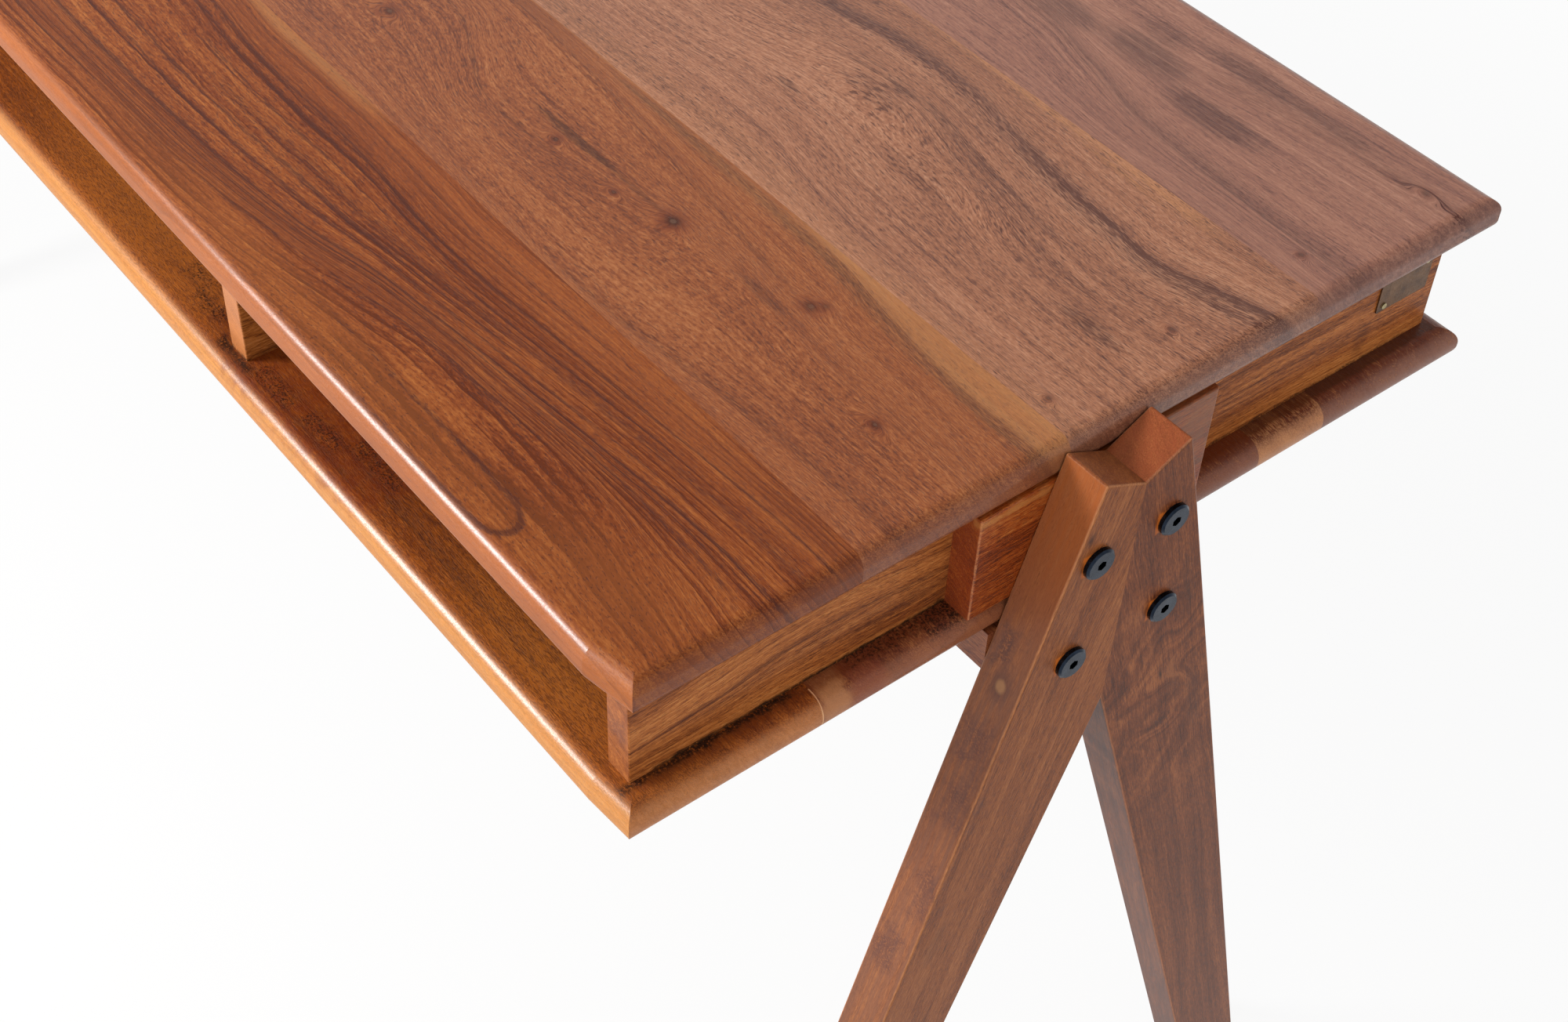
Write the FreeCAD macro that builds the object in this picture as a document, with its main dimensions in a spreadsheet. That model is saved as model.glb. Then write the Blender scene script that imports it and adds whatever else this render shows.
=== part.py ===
import FreeCAD, Part
import os
import Sketcher
from FreeCAD import Placement, Rotation, Vector

# Campaign desk: two plank boards with open compartments between them, on two bolted pairs of splayed legs.
# Millimetres. The origin is on the floor under the middle of the desk, +X along the length,
# -Y towards the open front, +Z up.

os.makedirs("parts", exist_ok=True)
doc = FreeCAD.newDocument("campaign_desk")
sheet = doc.addObject("Spreadsheet::Sheet", "sizes")

driving_sizes = (
    # the two boards
    ("board_length", 1350.0),
    ("board_depth", 600.0),
    ("desk_height", 760.0),
    ("top_thickness", 22.0),
    ("bottom_thickness", 22.0),
    ("top_upper_round", 9.0),
    ("top_lower_round", 7.0),
    ("bottom_upper_round", 11.0),
    ("bottom_lower_round", 9.5),
    ("corner_ease_length", 32.0),
    ("top_corner_ease", 5.5),
    ("bottom_corner_ease", 2.0),
    ("top_plank_1_width", 141.0),
    ("top_plank_2_width", 134.0),
    ("top_plank_4_width", 145.0),
    ("bottom_plank_1_width", 123.0),
    ("bottom_plank_2_width", 157.0),
    ("bottom_plank_4_width", 52.0),
    ("bottom_plank_5_width", 114.0),
    # the uprights between the boards
    ("case_gap", 74.0),
    ("end_overhang", 18.0),
    ("front_overhang", 15.4),
    ("back_overhang", 15.4),
    ("panel_thickness", 18.0),
    ("divider_thickness", 18.0),
    ("divider_setback", 385.6),
    ("back_thickness", 12.0),
    ("upright_edge_round", 1.0),
    # spacer blocks and legs
    ("spacer_thickness", 18.5),
    ("spacer_width", 165.5),
    ("spacer_edge_round", 1.2),
    ("leg_thickness", 30.0),
    ("leg_tip_drop", 4.4),
    ("leg_tip_offset", 29.3),
    ("notch_depth", 15.0),
    ("seam_length", 168.9),
    ("foot_spread", 244.6),
    ("foot_width", 52.0),
    ("leg_edge_round", 1.5),
    # rail under the bottom board
    ("rail_thickness", 30.0),
    ("rail_width", 132.0),
    ("rail_edge_round", 2.0),
    # bolts and their nuts
    ("bolt_radius", 4.0),
    ("bolt_clearance", 0.3),
    ("thread_clearance", 0.1),
    ("bolt_tip_bevel", 1.0),
    ("head_radius", 9.8),
    ("head_thickness", 3.6),
    ("head_bevel", 1.2),
    ("socket_radius", 3.2),
    ("socket_depth", 2.6),
    ("upper_bolt_offset", 26.4),
    ("upper_bolt_height", 35.5),
    ("lower_bolt_offset", 33.5),
    ("sleeve_radius", 5.5),
    ("sleeve_length", 12.0),
    ("sleeve_flange_radius", 8.5),
    ("sleeve_flange_thickness", 1.6),
    ("sleeve_wall", 1.5),
    ("barrel_radius", 7.0),
    ("barrel_length", 22.0),
    ("barrel_inset", 32.0),
    ("bolt_past_barrel", 4.0),
    ("nut_clearance", 0.2),
    # dowels and screws
    ("dowel_radius", 4.0),
    ("dowel_in_board", 14.0),
    ("dowel_in_upright", 24.0),
    ("leg_dowel_radius", 5.0),
    ("leg_dowel_reach", 16.0),
    ("leg_dowel_upper_drop", 72.6),
    ("leg_dowel_lower_drop", 144.6),
    ("dowel_clearance", 0.1),
    ("screw_radius", 2.2),
    ("screw_head_radius", 4.4),
    ("screw_head_height", 3.0),
    ("screw_tip_height", 5.0),
    ("screw_length", 42.0),
    ("screw_clearance", 0.15),
    ("screw_row_offset", 42.0),
    ("screw_pitch", 400.0),
    # plate on the right end panel
    ("plate_width", 41.5),
    ("plate_height", 26.0),
    ("plate_thickness", 1.0),
    ("plate_corner_round", 1.0),
    ("plate_from_back_edge", 9.0),
    ("plate_above_board", 33.5),
    ("pin_inset_across", 5.2),
    ("pin_inset_up", 3.8),
    ("pin_radius", 0.8),
    ("pin_head_radius", 1.9),
    ("pin_head_height", 0.8),
    ("pin_depth", 8.0),
    ("pin_clearance", 0.1),
)
for row, (alias, number) in enumerate(driving_sizes, start=1):
    sheet.set(f"A{row}", alias)
    sheet.set(f"B{row}", str(number))
    sheet.setAlias(f"B{row}", alias)
doc.recompute()

# Places worked out from the driving sizes, as expressions
board_end = "(sizes.board_length / 2)"
board_front = "(-sizes.board_depth / 2)"
top_under = "(sizes.desk_height - sizes.top_thickness)"
board_face = f"({top_under} - sizes.case_gap)"
bottom_under = f"({board_face} - sizes.bottom_thickness)"
rail_under = f"({bottom_under} - sizes.rail_thickness)"
panel_face = f"({board_end} - sizes.end_overhang)"
panel_inside = f"({panel_face} - sizes.panel_thickness)"
panel_middle = f"({panel_face} - sizes.panel_thickness / 2)"
divider_middle = f"({panel_face} - sizes.divider_setback)"
panel_front = f"({board_front} + sizes.front_overhang)"
panel_back = "(sizes.board_depth / 2 - sizes.back_overhang)"
panel_depth = f"({panel_back} - {panel_front})"
divider_back = f"({panel_back} - sizes.back_thickness)"
leg_inside = f"({panel_face} + sizes.spacer_thickness)"
leg_outside = f"({leg_inside} + sizes.leg_thickness)"
leg_tip = "(sizes.desk_height - sizes.leg_tip_drop)"
notch_level = f"({leg_tip} - sizes.notch_depth)"
upper_bolt_level = f"({board_face} + sizes.upper_bolt_height)"
lower_bolt_level = f"({bottom_under} - sizes.rail_thickness / 2)"
barrel_place = f"({leg_inside} - sizes.barrel_inset)"

along_x = Rotation(Vector(0, 1, 0), 90)
along_y = Rotation(Vector(1, 0, 0), -90)
upright = Rotation()


def value(text):
    return float(sheet.evalExpression(text))


def near(first, second):
    return abs(first - second) < 0.01


# Builders shared by several pieces

def set_down(piece, spot, turn=upright):
    piece.Placement = Placement(Vector(), turn)
    for axis, text in zip("xyz", spot):
        piece.setExpression(f"Placement.Base.{axis}", text)


def rod(name, radius, length, spot, turn=upright):
    piece = doc.addObject("Part::Cylinder", name)
    piece.setExpression("Radius", radius)
    piece.setExpression("Height", length)
    set_down(piece, spot, turn)
    return piece


def taper(name, first_radius, second_radius, length, spot):
    piece = doc.addObject("Part::Cone", name)
    piece.setExpression("Radius1", first_radius)
    piece.setExpression("Radius2", second_radius)
    piece.setExpression("Height", length)
    set_down(piece, spot)
    return piece


def group(name, members):
    piece = doc.addObject("Part::Compound", name)
    piece.Links = list(members)
    return piece


def joined(name, members):
    piece = doc.addObject("Part::MultiFuse", name)
    piece.Shapes = list(members)
    return piece


def cut(name, base, tool):
    piece = doc.addObject("Part::Cut", name)
    piece.Base = base
    piece.Tool = tool
    return piece


def mirrored(name, source):
    piece = doc.addObject("Part::Mirroring", name)
    piece.Source = source
    piece.Base = Vector()
    piece.Normal = Vector(1, 0, 0)
    return piece


def both_ends(name, source):
    return group(name, [source, mirrored(f"{name}_mirror", source)])


def block(name, length, width, height, spot):
    body = doc.addObject("PartDesign::Body", f"{name}_body")
    solid = body.newObject("PartDesign::AdditiveBox", f"{name}_block")
    solid.setExpression("Length", length)
    solid.setExpression("Width", width)
    solid.setExpression("Height", height)
    set_down(body, spot)
    doc.recompute()
    return body


def round_edges(body, radius, wanted):
    base = body.Tip
    edges = []
    for index, edge in enumerate(base.Shape.Edges, start=1):
        if wanted(edge.CenterOfMass):
            edges.append(f"Edge{index}")
    rounding = body.newObject("PartDesign::Fillet", f"{body.Name}_round")
    rounding.Base = (base, edges)
    rounding.setExpression("Radius", radius)
    doc.recompute()
    return body


def own_plane(body, role):
    for feature in body.Origin.OriginFeatures:
        if feature.Role == role:
            return feature


def outline(body, name, role, corners):
    sketch = body.newObject("Sketcher::SketchObject", name)
    sketch.AttachmentSupport = [(own_plane(body, role), "")]
    sketch.MapMode = "FlatFace"
    spots = [Vector(value(across), value(up), 0) for across, up in corners]
    count = len(corners)
    for index in range(count):
        sketch.addGeometry(Part.LineSegment(spots[index], spots[(index + 1) % count]))
    for index in range(count):
        sketch.addConstraint(Sketcher.Constraint("Coincident", index, 2, (index + 1) % count, 1))
    for index, (across, up) in enumerate(corners):
        for kind, text, axis in (("DistanceX", across, -2), ("DistanceY", up, -1)):
            if text == "0":
                sketch.addConstraint(Sketcher.Constraint("PointOnObject", index, 1, axis))
                continue
            place = sketch.addConstraint(Sketcher.Constraint(kind, -1, 1, index, 1, value(text)))
            sketch.setExpression(f"Constraints[{place}]", text)
    return sketch


# Boards of edge-glued planks

def plank_blank(name, width, thickness, spot):
    return block(name, "sizes.board_length", width, thickness, spot)


def eased_blank(name, width, thickness, ease, spot):
    # seen from above, the front edge bends back a little towards its two corners
    body = doc.addObject("PartDesign::Body", f"{name}_body")
    corners = (
        ("0", ease),
        ("sizes.corner_ease_length", "0"),
        ("(sizes.board_length - sizes.corner_ease_length)", "0"),
        ("sizes.board_length", ease),
        ("sizes.board_length", width),
        ("0", width),
    )
    sketch = outline(body, f"{name}_plan", "XY_Plane", corners)
    pad = body.newObject("PartDesign::Pad", f"{name}_pad")
    pad.Profile = sketch
    pad.setExpression("Length", thickness)
    set_down(body, spot)
    doc.recompute()
    return body


def round_both_faces(body, thickness, upper, lower, wanted):
    level = value(thickness)
    round_edges(body, upper, lambda spot: near(spot.z, level) and wanted(spot))
    return round_edges(body, lower, lambda spot: near(spot.z, 0.0) and wanted(spot))


def inner_plank(name, width, thickness, spot, upper, lower):
    ends = (0.0, value("sizes.board_length"))
    body = plank_blank(name, width, thickness, spot)
    return round_both_faces(
        body, thickness, upper, lower, lambda place: any(near(place.x, end) for end in ends)
    )


def mitred(name, ended, edged):
    shape = doc.addObject("Part::Common", f"{name}_rounded")
    shape.Base = ended
    shape.Tool = edged
    return shape


def front_plank(name, width, thickness, spot, upper, lower, ease):
    ended = inner_plank(f"{name}_ended", width, thickness, spot, upper, lower)
    edged = eased_blank(f"{name}_edged", width, thickness, ease, spot)
    bend = value(ease)
    round_both_faces(edged, thickness, upper, lower, lambda place: place.y < bend)
    return mitred(name, ended, edged)


def back_plank(name, width, thickness, spot, upper, lower):
    ended = inner_plank(f"{name}_ended", width, thickness, spot, upper, lower)
    edged = plank_blank(f"{name}_edged", width, thickness, spot)
    back = value(width)
    round_both_faces(edged, thickness, upper, lower, lambda place: near(place.y, back))
    return mitred(name, ended, edged)


def board(side_name, plank_count, filler, under):
    # the filler plank takes up what the planks on either side of it leave of the depth
    joints = {0: board_front, plank_count: "(sizes.board_depth / 2)"}
    for number in range(1, filler):
        joints[number] = f"({joints[number - 1]} + sizes.{side_name}_plank_{number}_width)"
    for number in range(plank_count, filler, -1):
        joints[number - 1] = f"({joints[number]} - sizes.{side_name}_plank_{number}_width)"
    planks = []
    dowel_lines = []
    for number in range(1, plank_count + 1):
        front, back = joints[number - 1], joints[number]
        shape = (
            f"{side_name}_plank_{number}",
            f"({back} - {front})",
            f"sizes.{side_name}_thickness",
            (f"-{board_end}", front, under),
            f"sizes.{side_name}_upper_round",
            f"sizes.{side_name}_lower_round",
        )
        if number == 1:
            planks.append(front_plank(*shape, f"sizes.{side_name}_corner_ease"))
        elif number == plank_count:
            planks.append(back_plank(*shape))
        else:
            planks.append(inner_plank(*shape))
        dowel_front = panel_front if number == 1 else front
        dowel_back = divider_back if number == plank_count else back
        dowel_lines.append(f"(({dowel_front} + {dowel_back}) / 2)")
    return planks, dowel_lines


top_planks, top_dowel_lines = board("top", 4, 3, top_under)
bottom_planks, bottom_dowel_lines = board("bottom", 5, 3, bottom_under)


# Dowels that tie each plank to the end panels and dividers, with the holes they sit in

def dowel_set(name, dowel_lines, base, length, radius):
    rods = []
    for upright_number, across in enumerate((panel_middle, divider_middle), start=1):
        for number, dowel_line in enumerate(dowel_lines, start=1):
            spot = (across, dowel_line, base)
            rods.append(rod(f"{name}_{upright_number}_{number}", radius, length, spot))
    return both_ends(name, group(f"{name}_right", rods))


dowel_length = "(sizes.dowel_in_board + sizes.dowel_in_upright)"
hole_length = f"({dowel_length} + 2 * sizes.dowel_clearance)"
hole_radius = "(sizes.dowel_radius + sizes.dowel_clearance)"
top_dowel_base = f"({top_under} - sizes.dowel_in_upright)"
bottom_dowel_base = f"({board_face} - sizes.dowel_in_board)"
top_dowels = dowel_set("top_dowel_rods", top_dowel_lines, top_dowel_base, dowel_length, "sizes.dowel_radius")
bottom_dowels = dowel_set(
    "bottom_dowel_rods", bottom_dowel_lines, bottom_dowel_base, dowel_length, "sizes.dowel_radius"
)
top_dowel_holes = dowel_set(
    "top_dowel_holes",
    top_dowel_lines,
    f"({top_dowel_base} - sizes.dowel_clearance)",
    hole_length,
    hole_radius,
)
bottom_dowel_holes = dowel_set(
    "bottom_dowel_holes",
    bottom_dowel_lines,
    f"({bottom_dowel_base} - sizes.dowel_clearance)",
    hole_length,
    hole_radius,
)


# Bolts, nuts and the holes that they share

def bolt(name, length, spot):
    body = doc.addObject("PartDesign::Body", f"{name}_body")
    tip_radius = "(sizes.bolt_radius - sizes.bolt_tip_bevel)"
    head_top = f"({length} + sizes.head_thickness)"
    corners = (
        ("0", "0"),
        (tip_radius, "0"),
        ("sizes.bolt_radius", "sizes.bolt_tip_bevel"),
        ("sizes.bolt_radius", length),
        ("sizes.head_radius", length),
        ("sizes.head_radius", f"({head_top} - sizes.head_bevel)"),
        ("(sizes.head_radius - sizes.head_bevel)", head_top),
        ("0", head_top),
    )
    sketch = outline(body, f"{name}_section", "XZ_Plane", corners)
    turned = body.newObject("PartDesign::Revolution", f"{name}_turned")
    turned.Profile = sketch
    turned.ReferenceAxis = (sketch, ["V_Axis"])
    turned.Angle = 360
    doc.recompute()
    socket = body.newObject("PartDesign::SubtractivePrism", f"{name}_socket")
    socket.Polygon = 6
    socket.setExpression("Circumradius", "sizes.socket_radius")
    socket.setExpression("Height", "sizes.socket_depth")
    socket.AttachmentSupport = [(own_plane(body, "XY_Plane"), "")]
    socket.MapMode = "FlatFace"
    socket.setExpression("AttachmentOffset.Base.z", f"{head_top} - sizes.socket_depth")
    set_down(body, spot, along_x)
    doc.recompute()
    return body


def sleeve_nut(name, spot_y):
    start = f"({panel_inside} - sizes.sleeve_flange_thickness)"
    flange = rod(
        f"{name}_flange",
        "sizes.sleeve_flange_radius",
        "sizes.sleeve_flange_thickness",
        (start, spot_y, upper_bolt_level),
        along_x,
    )
    sleeve = rod(
        f"{name}_sleeve",
        "sizes.sleeve_radius",
        "sizes.sleeve_length",
        (panel_inside, spot_y, upper_bolt_level),
        along_x,
    )
    bore = rod(
        f"{name}_bore",
        "(sizes.bolt_radius + sizes.thread_clearance)",
        "sizes.sleeve_length",
        (f"({panel_inside} + sizes.sleeve_wall)", spot_y, upper_bolt_level),
        along_x,
    )
    return cut(f"{name}_nut", joined(f"{name}_turned", [flange, sleeve]), bore)


def barrel_nut(name, spot_y):
    level = f"({lower_bolt_level} - sizes.barrel_length / 2)"
    spot = (barrel_place, spot_y, level)
    barrel = rod(f"{name}_barrel", "sizes.barrel_radius", "sizes.barrel_length", spot)
    bore = rod(
        f"{name}_bore",
        "(sizes.bolt_radius + sizes.thread_clearance)",
        "(4 * sizes.barrel_radius)",
        (f"({barrel_place} - 2 * sizes.barrel_radius)", spot_y, lower_bolt_level),
        along_x,
    )
    return cut(f"{name}_nut", barrel, bore)


upper_tip = f"({panel_inside} + sizes.sleeve_wall + sizes.bolt_tip_bevel)"
upper_length = f"({leg_outside} - {upper_tip})"
lower_tip = f"({barrel_place} - sizes.barrel_radius - sizes.bolt_past_barrel)"
lower_length = f"({leg_outside} - {lower_tip})"
shank_hole = "(sizes.bolt_radius + sizes.bolt_clearance)"
upper_bolts, lower_bolts = [], []
sleeve_nuts, barrel_nuts = [], []
upper_holes, lower_holes, barrel_holes = [], [], []
for side, sign in (("front", "-"), ("rear", "")):
    upper_y = f"({sign}sizes.upper_bolt_offset)"
    lower_y = f"({sign}sizes.lower_bolt_offset)"
    upper_bolts.append(bolt(f"upper_bolt_{side}", upper_length, (upper_tip, upper_y, upper_bolt_level)))
    lower_bolts.append(bolt(f"lower_bolt_{side}", lower_length, (lower_tip, lower_y, lower_bolt_level)))
    sleeve_nuts.append(sleeve_nut(f"sleeve_{side}", upper_y))
    barrel_nuts.append(barrel_nut(f"barrel_{side}", lower_y))
    shank = rod(
        f"upper_shank_hole_{side}",
        shank_hole,
        f"({leg_outside} - {panel_inside})",
        (panel_inside, upper_y, upper_bolt_level),
        along_x,
    )
    seat = rod(
        f"sleeve_hole_{side}",
        "(sizes.sleeve_radius + sizes.nut_clearance)",
        "(sizes.sleeve_length + sizes.nut_clearance)",
        (panel_inside, upper_y, upper_bolt_level),
        along_x,
    )
    upper_holes.append(joined(f"upper_hole_{side}", [shank, seat]))
    shank = rod(
        f"lower_shank_hole_{side}",
        shank_hole,
        f"({lower_length} + sizes.bolt_clearance)",
        (f"({lower_tip} - sizes.bolt_clearance)", lower_y, lower_bolt_level),
        along_x,
    )
    seat = rod(
        f"barrel_hole_{side}",
        "(sizes.barrel_radius + sizes.nut_clearance)",
        f"({lower_bolt_level} + sizes.barrel_length / 2 + sizes.nut_clearance - {rail_under})",
        (barrel_place, lower_y, rail_under),
    )
    lower_holes.append(shank)
    barrel_holes.append(joined(f"rail_hole_{side}", [shank, seat]))
upper_hole_pair = group("upper_hole_pair", upper_holes)
lower_hole_pair = group("lower_hole_pair", lower_holes)
bolt_holes = group("bolt_holes", [upper_hole_pair, lower_hole_pair])
rail_holes = both_ends("rail_bolt_holes", group("rail_hole_pair", barrel_holes))


# Screws up through the rail into the bottom board

def screw(name, across, spot_y, spare, tip_spare):
    head_radius = f"(sizes.screw_head_radius + {spare})"
    shank_radius = f"(sizes.screw_radius + {spare})"
    tip_start = f"({rail_under} + sizes.screw_length - sizes.screw_tip_height + {tip_spare})"
    head = taper(
        f"{name}_head", head_radius, shank_radius, "sizes.screw_head_height", (across, spot_y, rail_under)
    )
    shank_base = f"({rail_under} + sizes.screw_head_height)"
    shank = rod(f"{name}_shank", shank_radius, f"({tip_start} - {shank_base})", (across, spot_y, shank_base))
    tip = taper(f"{name}_tip", shank_radius, "0", "sizes.screw_tip_height", (across, spot_y, tip_start))
    return joined(name, [head, shank, tip])


screws, screw_holes = [], []
for row_name, row_sign in (("front", "-"), ("rear", "")):
    for place_name, step in (("left", "-"), ("middle", "0 * "), ("right", "")):
        across = f"({step}sizes.screw_pitch)"
        spot_y = f"({row_sign}sizes.screw_row_offset)"
        screws.append(screw(f"screw_{row_name}_{place_name}", across, spot_y, "0", "0"))
        screw_holes.append(
            screw(
                f"screw_hole_{row_name}_{place_name}",
                across,
                spot_y,
                "sizes.screw_clearance",
                "sizes.screw_clearance",
            )
        )
screw_hole_set = group("screw_hole_set", screw_holes)


# Uprights between the boards

def upright_board(name, thickness, middle, depth):
    spot = (f"({middle} - {thickness} / 2)", panel_front, board_face)
    body = block(name, thickness, depth, "sizes.case_gap", spot)
    level = value("sizes.case_gap") / 2
    return round_edges(
        body, "sizes.upright_edge_round", lambda spot: near(spot.z, level) and near(spot.y, 0.0)
    )


end_panel = upright_board("end_panel", "sizes.panel_thickness", panel_middle, panel_depth)
divider = upright_board(
    "divider", "sizes.divider_thickness", divider_middle, f"({divider_back} - {panel_front})"
)
back_board = block(
    "back",
    f"(2 * {panel_inside})",
    "sizes.back_thickness",
    "sizes.case_gap",
    (f"-{panel_inside}", divider_back, board_face),
)
upright_holes = group("upright_holes", [top_dowel_holes, bottom_dowel_holes])
panel_drilled = cut("panel_drilled", cut("panel_dowelled", end_panel, upright_holes), upper_hole_pair)
divider_drilled = cut("divider_drilled", divider, upright_holes)


# Spacer block, legs and rail

spacer_spot = (panel_face, "(-sizes.spacer_width / 2)", board_face)
spacer_body = block("spacer", "sizes.spacer_thickness", "sizes.spacer_width", "sizes.case_gap", spacer_spot)
round_edges(
    spacer_body, "sizes.spacer_edge_round", lambda spot: near(spot.x, value("sizes.spacer_thickness"))
)
spacer_drilled = cut("spacer_drilled", spacer_body, upper_hole_pair)


def leg(name, spot, turn):
    body = doc.addObject("PartDesign::Body", f"{name}_body")
    corners = (
        ("0", f"({notch_level} - sizes.seam_length)"),
        ("0", notch_level),
        ("sizes.leg_tip_offset", leg_tip),
        ("sizes.foot_spread", "0"),
        ("(sizes.foot_spread - sizes.foot_width)", "0"),
    )
    sketch = outline(body, f"{name}_side", "YZ_Plane", corners)
    pad = body.newObject("PartDesign::Pad", f"{name}_pad")
    pad.Profile = sketch
    pad.setExpression("Length", "sizes.leg_thickness")
    doc.recompute()
    # the seam between the legs and the cut of the foot stay sharp
    round_edges(
        body, "sizes.leg_edge_round", lambda spot: not near(spot.y, 0.0) and not near(spot.z, 0.0)
    )
    set_down(body, spot, turn)
    return body


half_turn = Rotation(Vector(0, 0, 1), 180)
leg_dowel_holes = []
leg_dowels = []
leg_middle = f"({leg_inside} + sizes.leg_thickness / 2)"
for level_name in ("upper", "lower"):
    level = f"({notch_level} - sizes.leg_dowel_{level_name}_drop)"
    reach = "sizes.leg_dowel_reach"
    leg_dowels.append(
        rod(
            f"leg_dowel_{level_name}_rod",
            "sizes.leg_dowel_radius",
            f"(2 * {reach})",
            (leg_middle, f"(-{reach})", level),
            along_y,
        )
    )
    hole_reach = f"({reach} + sizes.dowel_clearance)"
    leg_dowel_holes.append(
        rod(
            f"leg_dowel_{level_name}_hole",
            "(sizes.leg_dowel_radius + sizes.dowel_clearance)",
            f"(2 * {hole_reach})",
            (leg_middle, f"(-{hole_reach})", level),
            along_y,
        )
    )
leg_holes = group("leg_holes", [bolt_holes, *leg_dowel_holes])
rear_leg = cut("rear_leg_drilled", leg("rear_leg", (leg_inside, "0", "0"), upright), leg_holes)
front_leg = cut("front_leg_drilled", leg("front_leg", (leg_outside, "0", "0"), half_turn), leg_holes)

rail_spot = (f"-{leg_inside}", "(-sizes.rail_width / 2)", rail_under)
rail_body = block("rail", f"(2 * {leg_inside})", "sizes.rail_width", "sizes.rail_thickness", rail_spot)
round_edges(
    rail_body,
    "sizes.rail_edge_round",
    lambda spot: near(spot.z, 0.0) and any(near(spot.y, side) for side in (0.0, value("sizes.rail_width"))),
)
rail_drilled = cut("rail_drilled", cut("rail_bored", rail_body, rail_holes), screw_hole_set)


# Bare plate with two pins on the right end panel

plate_low_y = f"({panel_back} - sizes.plate_from_back_edge - sizes.plate_width)"
plate_low_z = f"({board_face} + sizes.plate_above_board)"
plate_spot = (panel_face, plate_low_y, plate_low_z)
plate_body = block("plate", "sizes.plate_thickness", "sizes.plate_width", "sizes.plate_height", plate_spot)
plate_middle = value("sizes.plate_thickness") / 2
round_edges(plate_body, "sizes.plate_corner_round", lambda spot: near(spot.x, plate_middle))

pins, pin_holes = [], []
pin_spots = (
    ("lower", f"({plate_low_y} + sizes.pin_inset_across)", f"({plate_low_z} + sizes.pin_inset_up)"),
    (
        "upper",
        f"({plate_low_y} + sizes.plate_width - sizes.pin_inset_across)",
        f"({plate_low_z} + sizes.plate_height - sizes.pin_inset_up)",
    ),
)
for pin_name, spot_y, spot_z in pin_spots:
    pin_start = f"({panel_face} - sizes.pin_depth)"
    shank = rod(
        f"pin_{pin_name}_shank",
        "sizes.pin_radius",
        "(sizes.pin_depth + sizes.plate_thickness)",
        (pin_start, spot_y, spot_z),
        along_x,
    )
    head = rod(
        f"pin_{pin_name}_head",
        "sizes.pin_head_radius",
        "sizes.pin_head_height",
        (f"({panel_face} + sizes.plate_thickness)", spot_y, spot_z),
        along_x,
    )
    pins.append(joined(f"pin_{pin_name}", [shank, head]))
    pin_holes.append(
        rod(
            f"pin_{pin_name}_hole",
            "(sizes.pin_radius + sizes.pin_clearance)",
            "(sizes.pin_depth + sizes.plate_thickness + sizes.pin_clearance)",
            (f"({pin_start} - sizes.pin_clearance)", spot_y, spot_z),
            along_x,
        )
    )
pin_hole_pair = group("pin_hole_pair", pin_holes)


# The finished pieces, one for each file

nodes = []


def finished(label, piece):
    piece.Label = label
    nodes.append(piece)


for number, piece in enumerate(top_planks, start=1):
    finished(f"top_plank_{number}", cut(f"top_{number}_drilled", piece, top_dowel_holes))
for number, piece in enumerate(bottom_planks, start=1):
    dowelled = cut(f"bottom_{number}_dowelled", piece, bottom_dowel_holes)
    finished(f"bottom_plank_{number}", cut(f"bottom_{number}_drilled", dowelled, screw_hole_set))
finished("back_panel", back_board)
finished("end_panel_right", cut("panel_pinned", panel_drilled, pin_hole_pair))
finished("end_panel_left", mirrored("panel_mirror", panel_drilled))
finished("blank_plate", cut("plate_pierced", plate_body, pin_hole_pair))
finished("plate_pins", group("pin_pair", pins))
finished("under_rail", rail_drilled)
finished("rail_screws", group("screw_set", screws))
finished("top_dowels", top_dowels)
finished("bottom_dowels", bottom_dowels)
paired_pieces = (
    ("divider", divider_drilled),
    ("spacer", spacer_drilled),
    ("leg_front", front_leg),
    ("leg_rear", rear_leg),
    ("leg_dowels", group("leg_dowel_pair", leg_dowels)),
    ("upper_bolts", group("upper_bolt_pair", upper_bolts)),
    ("lower_bolts", group("lower_bolt_pair", lower_bolts)),
    ("sleeve_nuts", group("sleeve_nut_pair", sleeve_nuts)),
    ("barrel_nuts", group("barrel_nut_pair", barrel_nuts)),
)
for label, piece in paired_pieces:
    finished(f"{label}_right", piece)
    finished(f"{label}_left", mirrored(f"{label}_mirror", piece))
doc.recompute()

# Every object is sound before anything is written
for thing in doc.Objects:
    if "Invalid" in thing.State or "Error" in thing.State:
        raise RuntimeError(f"{thing.Name} failed: {thing.State}")
for piece in nodes:
    if piece.Shape.isNull() or not piece.Shape.isValid():
        raise RuntimeError(f"{piece.Label} has no sound shape")
    if not piece.Shape.Solids:
        raise RuntimeError(f"{piece.Label} has no solid")

for piece in nodes:
    piece.Shape.exportStep(os.path.join("parts", f"{piece.Label}.step"))
    print(f"{piece.Label}: {len(piece.Shape.Solids)} solids, {piece.Shape.Volume / 1000:.1f} cm3")
print(f"{len(nodes)} pieces written")
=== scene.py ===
import math
from types import SimpleNamespace
import bpy
from mathutils import Matrix, Vector

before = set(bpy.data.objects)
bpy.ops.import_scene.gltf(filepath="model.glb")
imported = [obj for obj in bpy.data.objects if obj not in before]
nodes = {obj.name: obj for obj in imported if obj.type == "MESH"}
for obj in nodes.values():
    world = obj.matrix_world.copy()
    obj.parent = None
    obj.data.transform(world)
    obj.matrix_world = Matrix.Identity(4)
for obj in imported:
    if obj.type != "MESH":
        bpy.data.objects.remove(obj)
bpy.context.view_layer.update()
scene = bpy.context.scene
scene.view_settings.view_transform = "Standard"
print("frame loaded,", len(nodes), "nodes")


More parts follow.
